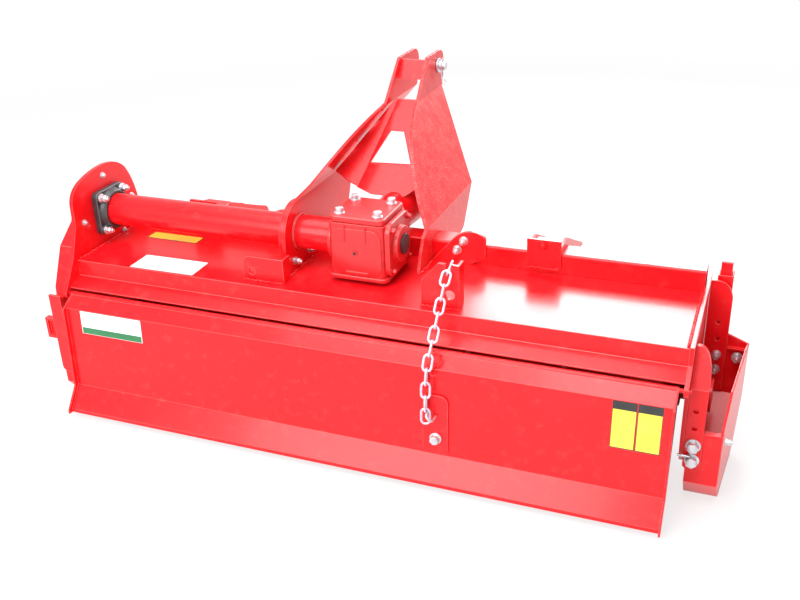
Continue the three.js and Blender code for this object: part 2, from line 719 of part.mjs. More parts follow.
// a lower hitch bracket clamped round the beam, with two cheeks that hold the lower link pin
function lowerHitch(side) {
  const word = side > 0 ? 'right' : 'left';
  const near = mastX + side * hitchInner;
  const far = near + side * (2 * hitchPlate + hitchGap);
  const low = Math.min(near, far);
  const high = Math.max(near, far);
  const cheekTop = beamTop + hitchCheekRise[word];
  const cheek = new THREE.Shape();
  cheek.moveTo(beamFront + touch, cheekTop);
  cheek.lineTo(deckDepth - touch - 8, cheekTop);
  cheek.lineTo(deckDepth - touch - 8, beamTop - 40);
  cheek.lineTo(deckDepth - touch, beamTop - 40);
  cheek.lineTo(deckDepth - touch, beamTop + touch);
  cheek.lineTo(beamFront + touch, beamTop + touch);
  cheek.lineTo(beamFront + touch, beamBottom);
  cheek.lineTo(hitchPinY - 20, hitchPinHeight - 30);
  cheek.absarc(hitchPinY, hitchPinHeight, 34, -Math.PI * 0.6, Math.PI * 0.45);
  let body = plateAlongX(cheek, low, hitchPlate).add(plateAlongX(cheek, high - hitchPlate, hitchPlate));
  const inside = low + hitchPlate - 1;
  const outside = high - hitchPlate + 1;
  body = body.add(block(low, high, deckDepth - touch - 8, deckDepth - touch, beamTop - 40, beamTop + 38));
  body = body.add(block(inside, outside, deckDepth - touch - 8, beamFront + 6, beamTop + touch, beamTop + 10));
  body = body.add(block(inside, outside, beamFront + touch, beamFront + 9, beamBottom + 10, beamTop + 10));
  body = body.subtract(rodX(hitchPinDiameter / 2 + pinClearance, low - 1, high + 1, hitchPinY, hitchPinHeight));
  piece(`${word}_hitch_bracket`, body, red);
  const outerEnd = side > 0 ? high + 26 : low - 26;
  const innerEnd = side > 0 ? low - 10 : high + 10;
  const pin = rodX(hitchPinDiameter / 2, Math.min(innerEnd, outerEnd), Math.max(innerEnd, outerEnd),
    hitchPinY, hitchPinHeight);
  const collarX = side > 0 ? high + touch : low - touch - 8;
  piece(`${word}_lower_link_pin`, pin.add(rodX(hitchPinDiameter / 2 + 8, collarX, collarX + 8, hitchPinY,
    hitchPinHeight)), steel);
}

function hingeRod() {
  const left = leftFace - sidePlate;
  const right = rightFace + sidePlate + 6;
  piece('tailboard_hinge_rod', rodX(hingeRodDiameter / 2, left, right, hingeY, hingeHeight, 24), steel);
}

// tailboard: rolled top edge on the hinge rod, three planes and a lip, with a rib along each end
function tailboard() {
  const half = tailWidth / 2;
  const roll = rodX(rollRadius, -half, half, hingeY, hingeHeight, 20);
  const line = [[hingeY - 1, hingeHeight + rollRadius - 2], [tailUpperY, tailUpperBend],
    [tailLowerY, tailLowerBend], [tailBottomY, tailBottom], [tailBottomY, tailBottom - tailLip]];
  const profile = bentSheet([...line].reverse(), tailSheet);
  let body = plateAlongX(profile, -half, tailWidth).add(roll);
  const ribLine = line.map(([y, z]) => [y - tailRib, z]);
  ribLine[0] = [hingeY - 4, hingeHeight + rollRadius - 3];
  const rib = bentSheet([...ribLine].reverse(), tailRib + tailSheet / 2);
  for (const x of [-half, half - tailRibThickness]) body = body.add(plateAlongX(rib, x, tailRibThickness));
  body = body.subtract(rodX(hingeRodDiameter / 2 + touch, -half - 1, half + 1, hingeY, hingeHeight, 20));
  piece('tailboard', body, red);
}

// outer face of the tailboard's middle plane at a height
function tailFaceY(height) {
  return tailUpperY + (tailUpperBend - height) / (tailUpperBend - tailLowerBend) * (tailLowerY - tailUpperY);
}

function chainPlate() {
  const back = (height) => tailFaceY(height) - touch;
  const profile = outline([[back(chainPlateBottom), chainPlateBottom], [back(chainPlateTop), chainPlateTop],
    [back(chainPlateTop) - chainPlateThickness, chainPlateTop],
    [back(chainPlateBottom) - chainPlateThickness, chainPlateBottom]]);
  const strip = plateAlongX(profile, chainPlateLeft, chainPlateRight - chainPlateLeft);
  const face = new THREE.Shape();
  face.moveTo(chainPlateLeft, chainPlateBottom);
  face.lineTo(chainPlateRight, chainPlateBottom);
  face.lineTo(chainPlateRight, chainPlateTop - 24);
  face.quadraticCurveTo(chainPlateRight, chainPlateTop, chainPlateRight - 24, chainPlateTop);
  face.lineTo(chainPlateLeft + 24, chainPlateTop);
  face.quadraticCurveTo(chainPlateLeft, chainPlateTop, chainPlateLeft, chainPlateTop - 24);
  piece('tailboard_chain_plate', strip.intersect(plateAlongY(face, -300, 400, 6)), red);
}

// the tailboard's chain, as a plain round bar from the notch over the tailboard's upper bend
function chain() {
  const radius = chainDiameter / 2;
  const points = [[chainNotchX + 3, chainBracketY - radius - touch, deckHeight + chainBracketHeight - 6],
    [chainPlateLeft + 12, tailUpperY - radius - 7, tailUpperBend + 4],
    [chainPlateLeft + 13, tailFaceY(190) - chainPlateThickness - radius - 2 * touch, 190]];
  const at = points.map(([x, y, z]) => new THREE.Vector3(x, y, z));
  const bar = (from, to) => {
    const geometry = new THREE.CylinderGeometry(radius, radius, from.distanceTo(to), 10);
    const turn = new THREE.Quaternion().setFromUnitVectors(axisY, to.clone().sub(from).normalize());
    const middle = from.clone().add(to).multiplyScalar(0.5);
    return solid(geometry.applyQuaternion(turn).translate(middle.x, middle.y, middle.z));
  };
  const bend = solid(new THREE.SphereGeometry(radius, 10, 8).translate(at[1].x, at[1].y, at[1].z));
  piece('tailboard_chain', bar(at[0], at[1]).add(bar(at[1], at[2])).add(bend), steel);
}

// rotor: tube with stub shafts and welded flanges
function rotor() {
  const end = deckHalf - 22;
  const shaft = rodX(rotorTube / 2, -end, end, rotorY, rotorHeight, 32)
    .add(rodX(rotorStub / 2, leftFace - sidePlate, rightFace + sidePlate + 2, rotorY, rotorHeight, 24));
  piece('rotor_shaft', shaft, darkRed);
  const pitch = (2 * end - 60) / (flangeCount - 1);
  for (let i = 0; i < flangeCount; i += 1) {
    const x = -end + 30 + i * pitch;
    const tineTip = Math.sqrt(rotorRadius ** 2 - (tineWidth / 2) ** 2);
    let set = rodX(flangeRadius, x - flangeThickness / 2, x + flangeThickness / 2, rotorY, rotorHeight, 32);
    for (let k = 0; k < tinesPerFlange; k += 1) {
      let hand = k % 2 === 0 ? 1 : -1;
      if (i === 0) hand = 1;
      if (i === flangeCount - 1) hand = -1;
      const arm = block(hand > 0 ? flangeThickness / 2 - 0.5 : -flangeThickness / 2 - tineThickness + 0.5,
        hand > 0 ? flangeThickness / 2 + tineThickness - 0.5 : -flangeThickness / 2 + 0.5,
        -tineWidth / 2, tineWidth / 2, flangeRadius - 45, tineTip);
      const footEnd = flangeThickness / 2 + tineFoot;
      const foot = block(hand > 0 ? 2 : -footEnd, hand > 0 ? footEnd : -2, -tineWidth / 2, tineWidth / 2,
        tineTip - tineThickness, tineTip);
      const turn = k * 360 / tinesPerFlange + i * 360 / tinesPerFlange / flangeCount;
      set = set.add(arm.add(foot).rotate([turn, 0, 0]).translate([x, rotorY, rotorHeight]));
    }
    set = set.subtract(rodX(rotorTube / 2 + touch, x - 200, x + 200, rotorY, rotorHeight, 32));
    piece(`tine_set_${i + 1}`, set, bladeSteel);
  }
}

function rotorBearing() {
  const x = rightFace + sidePlate + touch;
  const plate = rodX(bearingPlateRadius, x, x + 14, rotorY, rotorHeight, 40);
  const dome = rodX(bearingDomeRadius, x + 13, x + 42, rotorY, rotorHeight, 40);
  const bore = rodX(rotorStub / 2 + 3, x - 1, x + 8, rotorY, rotorHeight);
  piece('rotor_bearing', plate.add(dome).subtract(bore), castGrey);
}

// right skid's rear strap: upright, with a tongue that leans forward over its fold
function rearStrap() {
  const x1 = strapX + strapWidth;
  const strap = new THREE.Shape();
  strap.moveTo(strapX, rearStrapTop);
  strap.lineTo(strapX, rearStrapBottom + 8);
  strap.lineTo(strapX + 8, rearStrapBottom);
  strap.lineTo(x1 - 8, rearStrapBottom);
  strap.lineTo(x1, rearStrapBottom + 8);
  strap.lineTo(x1, rearStrapTop);
  const upright = plateAlongY(strap, rearStrapY, strapThickness);
  const bend = outline([[rearStrapY, rearStrapTop - 1], [rearStrapY + strapThickness, rearStrapTop - 1],
    [rearStrapY + 74, rearStrapTop + 78], [rearStrapY + 66, rearStrapTop + 84]]);
  const tongue = new THREE.Shape();
  tongue.moveTo(strapX, rearStrapTop - 2);
  tongue.lineTo(x1, rearStrapTop - 2);
  tongue.lineTo(x1, rearStrapTop + 14);
  tongue.quadraticCurveTo(x1 - 2, rearStrapTop + 70, strapX + 12, rearStrapTop + 78);
  tongue.lineTo(strapX, rearStrapTop + 78);
  const leaning = plateAlongX(bend, strapX, strapWidth).intersect(plateAlongY(tongue, -100, 300));
  piece('right_rear_strap', upright.add(leaning), red);
}

function frontStrap() {
  const x1 = strapX + frontStrapWidth;
  const front = new THREE.Shape();
  front.moveTo(strapX, frontStrapBottom);
  front.lineTo(x1, frontStrapBottom);
  front.lineTo(x1, frontStrapTop - 44);
  front.quadraticCurveTo(x1 - 8, frontStrapTop, strapX + 20, frontStrapTop);
  front.lineTo(strapX, frontStrapTop);
  piece('right_front_strap', plateAlongY(front, frontStrapY, strapThickness, 8), red);
}

// right skid: a bent sheet that widens forwards, with an upright wall along its outer edge
function rightSkid() {
  const rearY = rearStrapY + strapThickness + touch;
  const frontY = frontStrapY + strapThickness + touch;
  const frontFace = frontY + skidSheet;
  const line = [[rearY + skidLedge, skidRearTop], [rearY, skidRearTop], [rearY, skidHeel], [skidHeelY, 0],
    [skidToeY, 0], [frontFace, skidNose], [frontFace, skidFrontTop]];
  const run = bentSheet(line.reverse(), skidSheet);
  const plan = outline([[skidInner, rearY - 1], [skidOuterRear, rearY - 1], [skidOuterFront, frontFace + 1],
    [skidInner, frontFace + 1]]);
  const front = outline([[skidInner, -1], [skidOuterFront + 1, -1], [skidOuterFront + 1, skidFrontCorner],
    [strapX + frontStrapWidth, skidFrontTop], [skidInner, skidFrontTop]]);
  const wall = outline([[rearY, skidRearTop], [rearY, skidHeel], [skidHeelY, 0], [skidToeY, 0],
    [frontFace, skidNose], [frontFace, skidFrontCorner], [rearY + 110, skidFrontCorner]]);
  const wallPlan = outline([[skidOuterRear - skidSheet, rearY], [skidOuterRear, rearY],
    [skidOuterFront, frontFace], [skidOuterFront - skidSheet, frontFace]]);
  const sheet = plateAlongX(run, skidInner, skidOuterFront - skidInner)
    .intersect(plateAlongZ(plan, -1, skidFrontTop + 2))
    .intersect(plateAlongY(front, rearY - 1, frontFace + 10));
  const side = plateAlongX(wall, skidInner, skidOuterFront - skidInner + 1)
    .intersect(plateAlongZ(wallPlan, -1, skidFrontTop + 2));
  const tab = block(skidInner, skidInner + 33, rearY, rearY + skidSheet, skidRearTop - 2, 302);
  const rim = block(strapX + frontStrapWidth + 2, skidOuterFront - 3, frontY - skidRimReach, frontY + 1,
    skidRimHeight, skidRimHeight + 4);
  piece('right_skid', sheet.add(side).add(tab).add(rim), red);
}

// parking stand: square sleeve on the front strap and a leg that slides in it
function stand() {
  const x = strapX + 14 + sleeveSize / 2;
  const y = frontStrapY + strapThickness + 8 + sleeveSize / 2;
  const half = sleeveSize / 2;
  const bore = half - sleeveWall;
  const sleeve = block(x - half, x + half, y - half, y + half, sleeveBottom, sleeveTop)
    .subtract(block(x - bore, x + bore, y - bore, y + bore, sleeveBottom - 1, sleeveTop + 1))
    .add(block(x - half, x + half, frontStrapY + strapThickness + touch, y - half + 1, skidFrontTop + runGap,
      frontStrapTop - 50));
  piece('stand_sleeve', sleeve, red);
  const leg = standSize / 2;
  const cap = block(x - leg, x + leg, y - leg, y + leg, standTop + touch, standTop + 6);
  piece('stand_cap', cap, silver);
  const bar = block(x - leg, x + leg, y - leg, y + leg, standBottom - 1, standTop)
    .subtract(block(x - leg + 3, x + leg - 3, y - leg + 3, y + leg - 3, standBottom + 6, standTop + 1));
  const foot = block(x - standFoot / 2, x + standFoot / 2, y - leg, y - leg + standFoot,
    standBottom - standFootThickness, standBottom);
  piece('parking_stand', bar.add(foot), red);
}

// left skid: a narrow shoe under the gear case, with its two straps and a lug beside the case
function leftSkid() {
  const inner = leftFace - sidePlate - 8;
  const outer = inner - leftStrapWidth;
  const rearY = leftRearStrapY + strapThickness + touch;
  const strap = new THREE.Shape();
  strap.moveTo(outer, 340);
  strap.lineTo(outer, 118);
  strap.quadraticCurveTo(outer, 100, outer + 16, 100);
  strap.lineTo(inner, 100);
  strap.lineTo(inner, 340);
  const rearTie = block(outer + 4, inner - 4, rearY - 1, caseRearY - touch, 250, 330);
  piece('left_rear_strap', plateAlongY(strap, leftRearStrapY, strapThickness, 8).add(rearTie), red);
  const front = block(outer, inner, leftFrontStrapY, leftFrontStrapY + strapThickness, 118, 380);
  const frontTie = block(inner - 1, leftFace - sidePlate - touch, leftFrontStrapY,
    leftFrontStrapY + strapThickness, 240, 370);
  piece('left_front_strap', front.add(frontTie), red);
  const frontY = leftFrontStrapY - touch;
  const run = bentSheet([[rearY, 170], [rearY, 60], [-20, 0], [230, 0], [frontY, 106], [frontY, 190]].reverse(),
    skidSheet);
  piece('left_skid', plateAlongX(run, outer, leftSkidWidth), red);
  const lug = block(caseOuter - 56, caseOuter - touch, caseRearY + 2, caseRearY + caseCoverInset - 3, 174, 238)
    .subtract(block(caseOuter - 48, caseOuter - 8, caseRearY - 1, caseRearY + 11, 182, 230));
  piece('left_case_lug', lug, red);
}


hood();
frontBeam();
frontApron();
rightPlate();
leftPlate();
driveCase();
driveTube();
gearbox();
leftLeg();
rightLeg();
mastStrap();
mastWeb();
topLinkPin();
tubeCollar();
mastClamp('right_mast_clamp', 1, rightFoot);
mastClamp('left_mast_clamp', -1, leftFoot);
chainBracket();
leftBracket();
lowerHitch(1);
lowerHitch(-1);
hingeRod();
tailboard();
chainPlate();
chain();
rotor();
rotorBearing();
rearStrap();
frontStrap();
rightSkid();
stand();
leftSkid();

machine.updateMatrixWorld(true);
const bounds = new THREE.Box3().setFromObject(machine);
const centre = bounds.getCenter(new THREE.Vector3());
machine.position.set(-centre.x, -centre.y, -bounds.min.z);
machine.updateMatrixWorld(true);

export default machine;
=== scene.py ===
import math
import bpy
import bmesh
from mathutils import Matrix, Vector


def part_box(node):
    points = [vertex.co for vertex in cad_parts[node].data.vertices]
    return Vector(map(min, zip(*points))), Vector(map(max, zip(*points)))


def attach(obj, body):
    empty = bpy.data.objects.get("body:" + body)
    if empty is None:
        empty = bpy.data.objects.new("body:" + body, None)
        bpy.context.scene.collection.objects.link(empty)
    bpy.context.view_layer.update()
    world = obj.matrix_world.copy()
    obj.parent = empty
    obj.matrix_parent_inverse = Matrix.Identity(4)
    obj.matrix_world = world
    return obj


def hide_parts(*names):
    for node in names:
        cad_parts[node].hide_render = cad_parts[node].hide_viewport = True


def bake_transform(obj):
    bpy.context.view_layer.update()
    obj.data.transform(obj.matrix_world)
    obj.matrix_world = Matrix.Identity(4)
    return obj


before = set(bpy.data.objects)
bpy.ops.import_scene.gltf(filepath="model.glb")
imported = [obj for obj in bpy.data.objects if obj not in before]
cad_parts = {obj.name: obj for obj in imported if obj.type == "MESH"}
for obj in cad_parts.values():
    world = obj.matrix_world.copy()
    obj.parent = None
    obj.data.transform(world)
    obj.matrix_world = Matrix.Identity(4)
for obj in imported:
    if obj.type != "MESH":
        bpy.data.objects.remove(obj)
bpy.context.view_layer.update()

# places are measured in millimetres from the middle of the deck's rear edge, heights from the ground
deckLow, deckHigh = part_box("hood_deck")
deckDepth = 0.3027  # in metres
deckRear = deckHigh.y - deckDepth
deckMiddle = (deckLow.x + deckHigh.x) / 2


def at(x, y, z):
    return Vector((deckMiddle + x / 1000, deckRear + y / 1000, z / 1000))


camera = {
    "place": (938.1, -1990.7, 1494.9), "toward": (-0.3352, 0.8323, -0.4415), "roll": -1.94,
    "lens": 44.1, "film": 36, "far": 100,
}


def makeCamera(spec):
    data = bpy.data.cameras.new("view")
    data.lens = spec["lens"]
    data.sensor_width = spec["film"]
    data.clip_end = spec["far"]
    eye = bpy.data.objects.new("view", data)
    bpy.context.scene.collection.objects.link(eye)
    turn = Vector(spec["toward"]).to_track_quat("-Z", "Y")
    eye.matrix_world = Matrix.Translation(at(*spec["place"])) @ turn.to_matrix().to_4x4()
    eye.matrix_world = eye.matrix_world @ Matrix.Rotation(math.radians(spec["roll"]), 4, "Z")
    bpy.context.scene.camera = eye


makeCamera(camera)
print("camera ready")


class Wire:
    # the output of a node, so that sums on it can be written out plainly
    def __init__(self, bench, socket):
        self.bench = bench
        self.socket = socket

    def sum(self, operation, first, second):
        return self.bench.add("ShaderNodeMath", {"operation": operation}, {0: first, 1: second})

    def __add__(self, other):
        return self.sum("ADD", self, other)

    def __radd__(self, other):
        return self.sum("ADD", other, self)

    def __sub__(self, other):
        return self.sum("SUBTRACT", self, other)

    def __rsub__(self, other):
        return self.sum("SUBTRACT", other, self)

    def __mul__(self, other):
        return self.sum("MULTIPLY", self, other)

    def __rmul__(self, other):
        return self.sum("MULTIPLY", other, self)

    def held(self, low=0.0, high=1.0):
        return self.bench.add("ShaderNodeClamp", {}, {"Value": self, "Min": low, "Max": high})


class Bench:
    # a node tree being built: one method adds any node
    def __init__(self, tree):
        self.tree = tree

    def add(self, kind, settings=None, values=None, out=0):
        step = self.tree.nodes.new(kind)
        for name, value in (settings or {}).items():
            setattr(step, name, value)
        for name, value in (values or {}).items():
            if isinstance(value, Wire):
                self.tree.links.new(value.socket, step.inputs[name])
            else:
                step.inputs[name].default_value = value
        return Wire(self, step.outputs[out])

    def mix(self, share, first, second):
        # colours only: plain triples are given their fourth number here
        pick = [c if isinstance(c, Wire) else (*c, 1) for c in (first, second)]
        return self.add("ShaderNodeMix", {"data_type": "RGBA"}, {0: share, 6: pick[0], 7: pick[1]}, out=2)


class Finish(Bench):
    # a surface finish on the usual shader
    def __init__(self, name, fixed):
        self.material = bpy.data.materials.new(name)
        self.material.use_nodes = True
        super().__init__(self.material.node_tree)
        self.shader = self.tree.nodes["Principled BSDF"]
        self.place = self.add("ShaderNodeTexCoord", out="Object")
        for socket, value in fixed.items():
            self.shader.inputs[socket].default_value = value

    def noise(self, scale, detail):
        return self.add("ShaderNodeTexNoise", {}, {"Vector": self.place, "Scale": scale, "Detail": detail})

    def feed(self, **wires):
        for socket, wire in wires.items():
            self.tree.links.new(wire.socket, self.shader.inputs[socket.replace("_", " ")])

    def bump(self, height, strength, depth):
        normal = self.add("ShaderNodeBump", {}, {"Height": height, "Strength": strength, "Distance": depth})
        self.feed(Normal=normal)

    def wearAndSheen(self):
        # the middle of each edge rounding, on pieces whose edges were rounded; it places edge wear and painted
        # edge highlights
        return self.add("ShaderNodeAttribute", {"attribute_name": "wearAndSheen"}, out="Fac")


enamel = {
    "colour": (0.86, 0.007, 0.013),
    "shade": (0.74, 0.004, 0.008),
    # pale pink of the edges: painted highlight
    "thin": (0.95, 0.20, 0.19),
    # pale pink of the grains: part dust, part painted highlight speckle
    "dust": (0.93, 0.24, 0.22),
    "chip": (0.30, 0.16, 0.14),
    "rough": 0.27,
    "fixed": {"Specular IOR Level": 0.30, "Coat Roughness": 0.10},
}


def enamelFinish(name, look, peel, dustSheenShare, speck):
    # sprayed paint: peel is how lumpy it is, and speck spreads its pale grains (part dust, part painted highlight
    # speckle) and makes them coarser
    paint = Finish(name, look["fixed"])
    drift = paint.noise(5, 5)
    cloud = paint.noise(38, 4)
    dustSheenGrain = paint.noise(620 - speck * 300, 2)
    wearAndSheen = paint.wearAndSheen()
    tone = paint.mix((drift * 1.6 - 0.4).held(), look["shade"], look["colour"])
    # pale grains: part dust (rougher, less coat), part painted highlight speckle where lumpy paint catches the
    # light
    dustSheenMask = ((cloud - 0.56) * 5 + speck).held() * ((dustSheenGrain - 0.49) * 14).held() * dustSheenShare
    tone = paint.mix(dustSheenMask, tone, look["dust"])
    # pale, a little glossier edges along the roundings: painted highlight
    edgeHighlightMask = (wearAndSheen * (0.5 + cloud)).held()
    tone = paint.mix(edgeHighlightMask * 0.75, tone, look["thin"])
    chipped = ((wearAndSheen * paint.noise(90, 3) - 0.62) * 12).held()
    tone = paint.mix(chipped, tone, look["chip"])
    paint.feed(Base_Color=tone, Roughness=look["rough"] + drift * 0.08 + dustSheenMask * 0.25 - edgeHighlightMask * 0.08,
               Coat_Weight=0.16 - dustSheenMask * 0.14)
    paint.bump(paint.noise(340, 2) * 0.6 + dustSheenGrain * 0.4, peel, 0.0006)
    return paint.material


# the edge highlight colour is a painted highlight on rounded edges
casting = {"colour": (0.70, 0.012, 0.016), "shade": (0.50, 0.006, 0.010), "thin": (0.86, 0.12, 0.10),
           "fixed": {"Specular IOR Level": 0.5, "Coat Roughness": 0.18}}


def castingFinish(name, look):
    # brushed enamel over a sand casting: soft lumps with fine grain
    paint = Finish(name, look["fixed"])
    lumps = paint.noise(55, 4)
    grain = paint.noise(420, 3)
    wearAndSheen = paint.wearAndSheen()
    tone = paint.mix((lumps * 1.8 - 0.4).held(), look["shade"], look["colour"])
    # lighter edges along the roundings: painted highlight
    tone = paint.mix((wearAndSheen * (0.3 + lumps)).held() * 0.6, tone, look["thin"])
    paint.feed(Base_Color=tone, Roughness=0.32 + grain * 0.16, Coat_Weight=0.25 + lumps * 0.2)
    paint.bump(lumps * 0.7 + grain * 0.3, 0.55, 0.0011)
    return paint.material


rust = (0.34, 0.22, 0.16)
steels = {
    "zinc": {"bright": (0.80, 0.82, 0.86), "dull": (0.52, 0.53, 0.56), "rough": 0.26, "scale": 70},
    "chainZinc": {"bright": (0.86, 0.84, 0.93), "dull": (0.58, 0.55, 0.68), "rough": 0.22, "scale": 110},
    "turned": {"bright": (0.66, 0.66, 0.67), "dull": (0.40, 0.39, 0.38), "rough": 0.30, "scale": 40},
}


def steelFinish(name, look):
    metal = Finish(name, {"Specular IOR Level": 0.5})
    spangle = metal.add("ShaderNodeTexVoronoi", {"feature": "F1"},
                        {"Vector": metal.place, "Scale": look["scale"] * 6}, out="Distance")
    patches = metal.noise(look["scale"], 3)
    tone = metal.mix((patches * 1.9 - 0.45).held(), look["dull"], look["bright"])
    tone = metal.mix((metal.noise(16, 3) * 2.4 - 1.5).held() * 0.3, tone, rust)
    metal.feed(Base_Color=tone, Metallic=0.9 - patches * 0.15, Roughness=look["rough"] + spangle * 0.18)
    metal.bump(patches + spangle * 0.2, 0.25, 0.0004)
    return metal.material


blade = {"paint": (0.42, 0.012, 0.016), "steel": (0.36, 0.34, 0.33), "soil": (0.16, 0.10, 0.07)}


def bladeFinish(name, look):
    # forged steel dipped in red, worn bare at its edges
    forged = Finish(name, {"Specular IOR Level": 0.45})
    scaleMarks = forged.noise(46, 5)
    patches = forged.noise(13, 4)
    bare = (forged.wearAndSheen() * 1.2 + (patches - 0.58) * 3).held() * (scaleMarks * 1.8 - 0.35).held()
    tone = forged.mix(bare, look["paint"], look["steel"])
    tone = forged.mix((forged.noise(24, 4) * 2.6 - 1.6).held() * 0.5, tone, look["soil"])
    forged.feed(Base_Color=tone, Metallic=bare * 0.85, Roughness=0.58 - bare * 0.16 + scaleMarks * 0.1)
    forged.bump(scaleMarks, 0.6, 0.0012)
    return forged.material


def darkIronFinish(name):
    iron = Finish(name, {"Specular IOR Level": 0.5, "Coat Roughness": 0.2})
    grain = iron.noise(160, 4)
    patches = iron.noise(22, 3)
    tone = iron.mix(patches, (0.012, 0.013, 0.015), (0.055, 0.058, 0.062))
    # lighter grey along the rounded edges: painted highlight
    tone = iron.mix((iron.wearAndSheen() * (0.4 + patches)).held() * 0.5, tone, (0.22, 0.22, 0.23))
    iron.feed(Base_Color=tone, Roughness=0.36 + grain * 0.22, Coat_Weight=patches * 0.4)
    iron.bump(grain, 0.5, 0.0009)
    return iron.material


def rubberFinish(name):
    rubber = Finish(name, {"Specular IOR Level": 0.5})
    bloom = rubber.noise(60, 4)
    tone = rubber.mix((bloom * 1.6 - 0.4).held(), (0.010, 0.010, 0.011), (0.045, 0.044, 0.046))
    rubber.feed(Base_Color=tone, Roughness=0.34 + bloom * 0.3)
    rubber.bump(rubber.noise(500, 2), 0.3, 0.0003)
    return rubber.material


def labelFinish(name, colour, faded):
    film = Finish(name, {"Specular IOR Level": 0.5, "Coat Roughness": 0.1})
    fading = film.noise(30, 3)
    tone = film.mix((fading * 1.8 - 0.5).held(), colour, faded)
    scuffs = ((film.noise(210, 4) - 0.68) * 14).held()
    tone = film.mix(scuffs * 0.35, tone, (0.62, 0.60, 0.55))
    film.feed(Base_Color=tone, Roughness=0.32 + scuffs * 0.3 + fading * 0.06,
              Coat_Weight=0.5 - scuffs * 0.4)
    film.bump(film.noise(800, 1), 0.12, 0.0002)
    return film.material


def capFinish(name):
    cap = Finish(name, {"Specular IOR Level": 0.5})
    grain = cap.noise(300, 3)
    tone = cap.mix(cap.noise(30, 3), (0.55, 0.56, 0.58), (0.78, 0.79, 0.81))
    cap.feed(Base_Color=tone, Metallic=0.35 + grain * 0.2, Roughness=0.3 + grain * 0.15)
    cap.bump(grain, 0.2, 0.0003)
    return cap.material


redEnamel = enamelFinish("red enamel", enamel, 0.22, 0.2, 0)
redSpeckled = enamelFinish("speckled red enamel", enamel, 0.5, 0.42, 1)
redCasting = castingFinish("painted casting", casting)
zinc = steelFinish("zinc plating", steels["zinc"])
chainZinc = steelFinish("chain plating", steels["chainZinc"])
turnedSteel = steelFinish("turned steel", steels["turned"])
bladeSteel = bladeFinish("blade steel", blade)
darkIron = darkIronFinish("dark cast iron")
blackRubber = rubberFinish("black rubber")
yellowFilm = labelFinish("yellow film", (0.92, 0.72, 0.045), (0.86, 0.66, 0.08))
whiteFilm = labelFinish("white film", (0.86, 0.88, 0.86), (0.80, 0.82, 0.80))
blackFilm = labelFinish("black film", (0.012, 0.012, 0.012), (0.03, 0.03, 0.03))
greenFilm = labelFinish("green film", (0.012, 0.16, 0.05), (0.02, 0.20, 0.07))
silverCap = capFinish("silver cap")
print("finishes ready")


def newPiece(name, mesh, body, finishes=()):
    # a finished piece: its mesh is in its final place already
    piece = bpy.data.objects.new(name, mesh)
    bpy.context.scene.collection.objects.link(piece)
    for finish in finishes:
        mesh.materials.append(finish)
    if body:
        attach(piece, body)
    return piece


def baked(piece):
    # the piece with its modifiers worked in, as a plain mesh
    bpy.context.view_layer.update()
    worked = piece.evaluated_get(bpy.context.evaluated_depsgraph_get())
    mesh = bpy.data.meshes.new_from_object(worked)
    piece.modifiers.clear()
    return mesh


samePoint = 0.02  # points this near are one, in millimetres
sameFace = 0.7  # faces this level are one, in degrees
sharpAngles = {"plain": 52, "turned": 48, "grown": 38}  # shading breaks where faces meet at more than this
rounding = {
    "width": 1.3, "least": 26, "segments": 2,
    # how near points are merged first, the share of the width, and whether short edges hold it back
    "tries": [(samePoint, 1, True), (0.4, 1, True), (0.9, 1, True), (0.9, 0.5, False), (0.4, 0.5, False),
              (samePoint, 0.5, False), (samePoint, 0.3, False)],
    # the share to reach, how far a side may move in metres, and how much the surface may change
    "enough": 0.42, "mostStray": 0.0006, "mostChange": 0.05,
}


def joined(work):
    # one point where several met, and no edges across flat faces
    bmesh.ops.remove_doubles(work, verts=work.verts, dist=samePoint / 1000)
    bmesh.ops.dissolve_limit(work, angle_limit=math.radians(sameFace), verts=work.verts, edges=work.edges)


def shaded(mesh, sharp):
    # smooth shading, broken at sharp edges
    for polygon in mesh.polygons:
        polygon.use_smooth = True
    mesh.set_sharp_from_angle(angle=math.radians(sharp))


def rounded(work, width, held=True):
    # rounds every edge sharper than the least angle, and marks the middle of each rounding for edge wear and
    # painted edge highlights
    wearAndSheenLayer = work.verts.layers.float.get("wearAndSheen") or work.verts.layers.float.new("wearAndSheen")
    least = math.radians(rounding["least"])
    edges = [e for e in work.edges if len(e.link_faces) == 2 and e.calc_face_angle(0) > least]
    made = bmesh.ops.bevel(work, geom=edges, offset=width / 1000, segments=rounding["segments"],
                           profile=0.5, affect="EDGES", clamp_overlap=held)
    new = set(made["faces"])
    for v in made["verts"]:
        if v.is_valid and v.link_faces and all(f in new for f in v.link_faces):
            v[wearAndSheenLayer] = 1.0
    strips = sorted(min(e.calc_length() for e in f.edges) for f in made["faces"] if f.is_valid)
    return 1000 * strips[len(strips) // 2] / width if strips else 1.0  # the share that was reached


def spread(work):
    return [end(v.co[i] for v in work.verts) for i in range(3) for end in (min, max)]


def mergedCopy(source, merge, holes):
    work = bmesh.new()
    work.from_mesh(source.data)
    joined(work)
    if holes:
        work = drilled(work, holes)
    if merge > samePoint:
        bmesh.ops.remove_doubles(work, verts=work.verts, dist=merge / 1000)
        bmesh.ops.dissolve_degenerate(work, edges=work.edges, dist=samePoint / 1000)
    return work


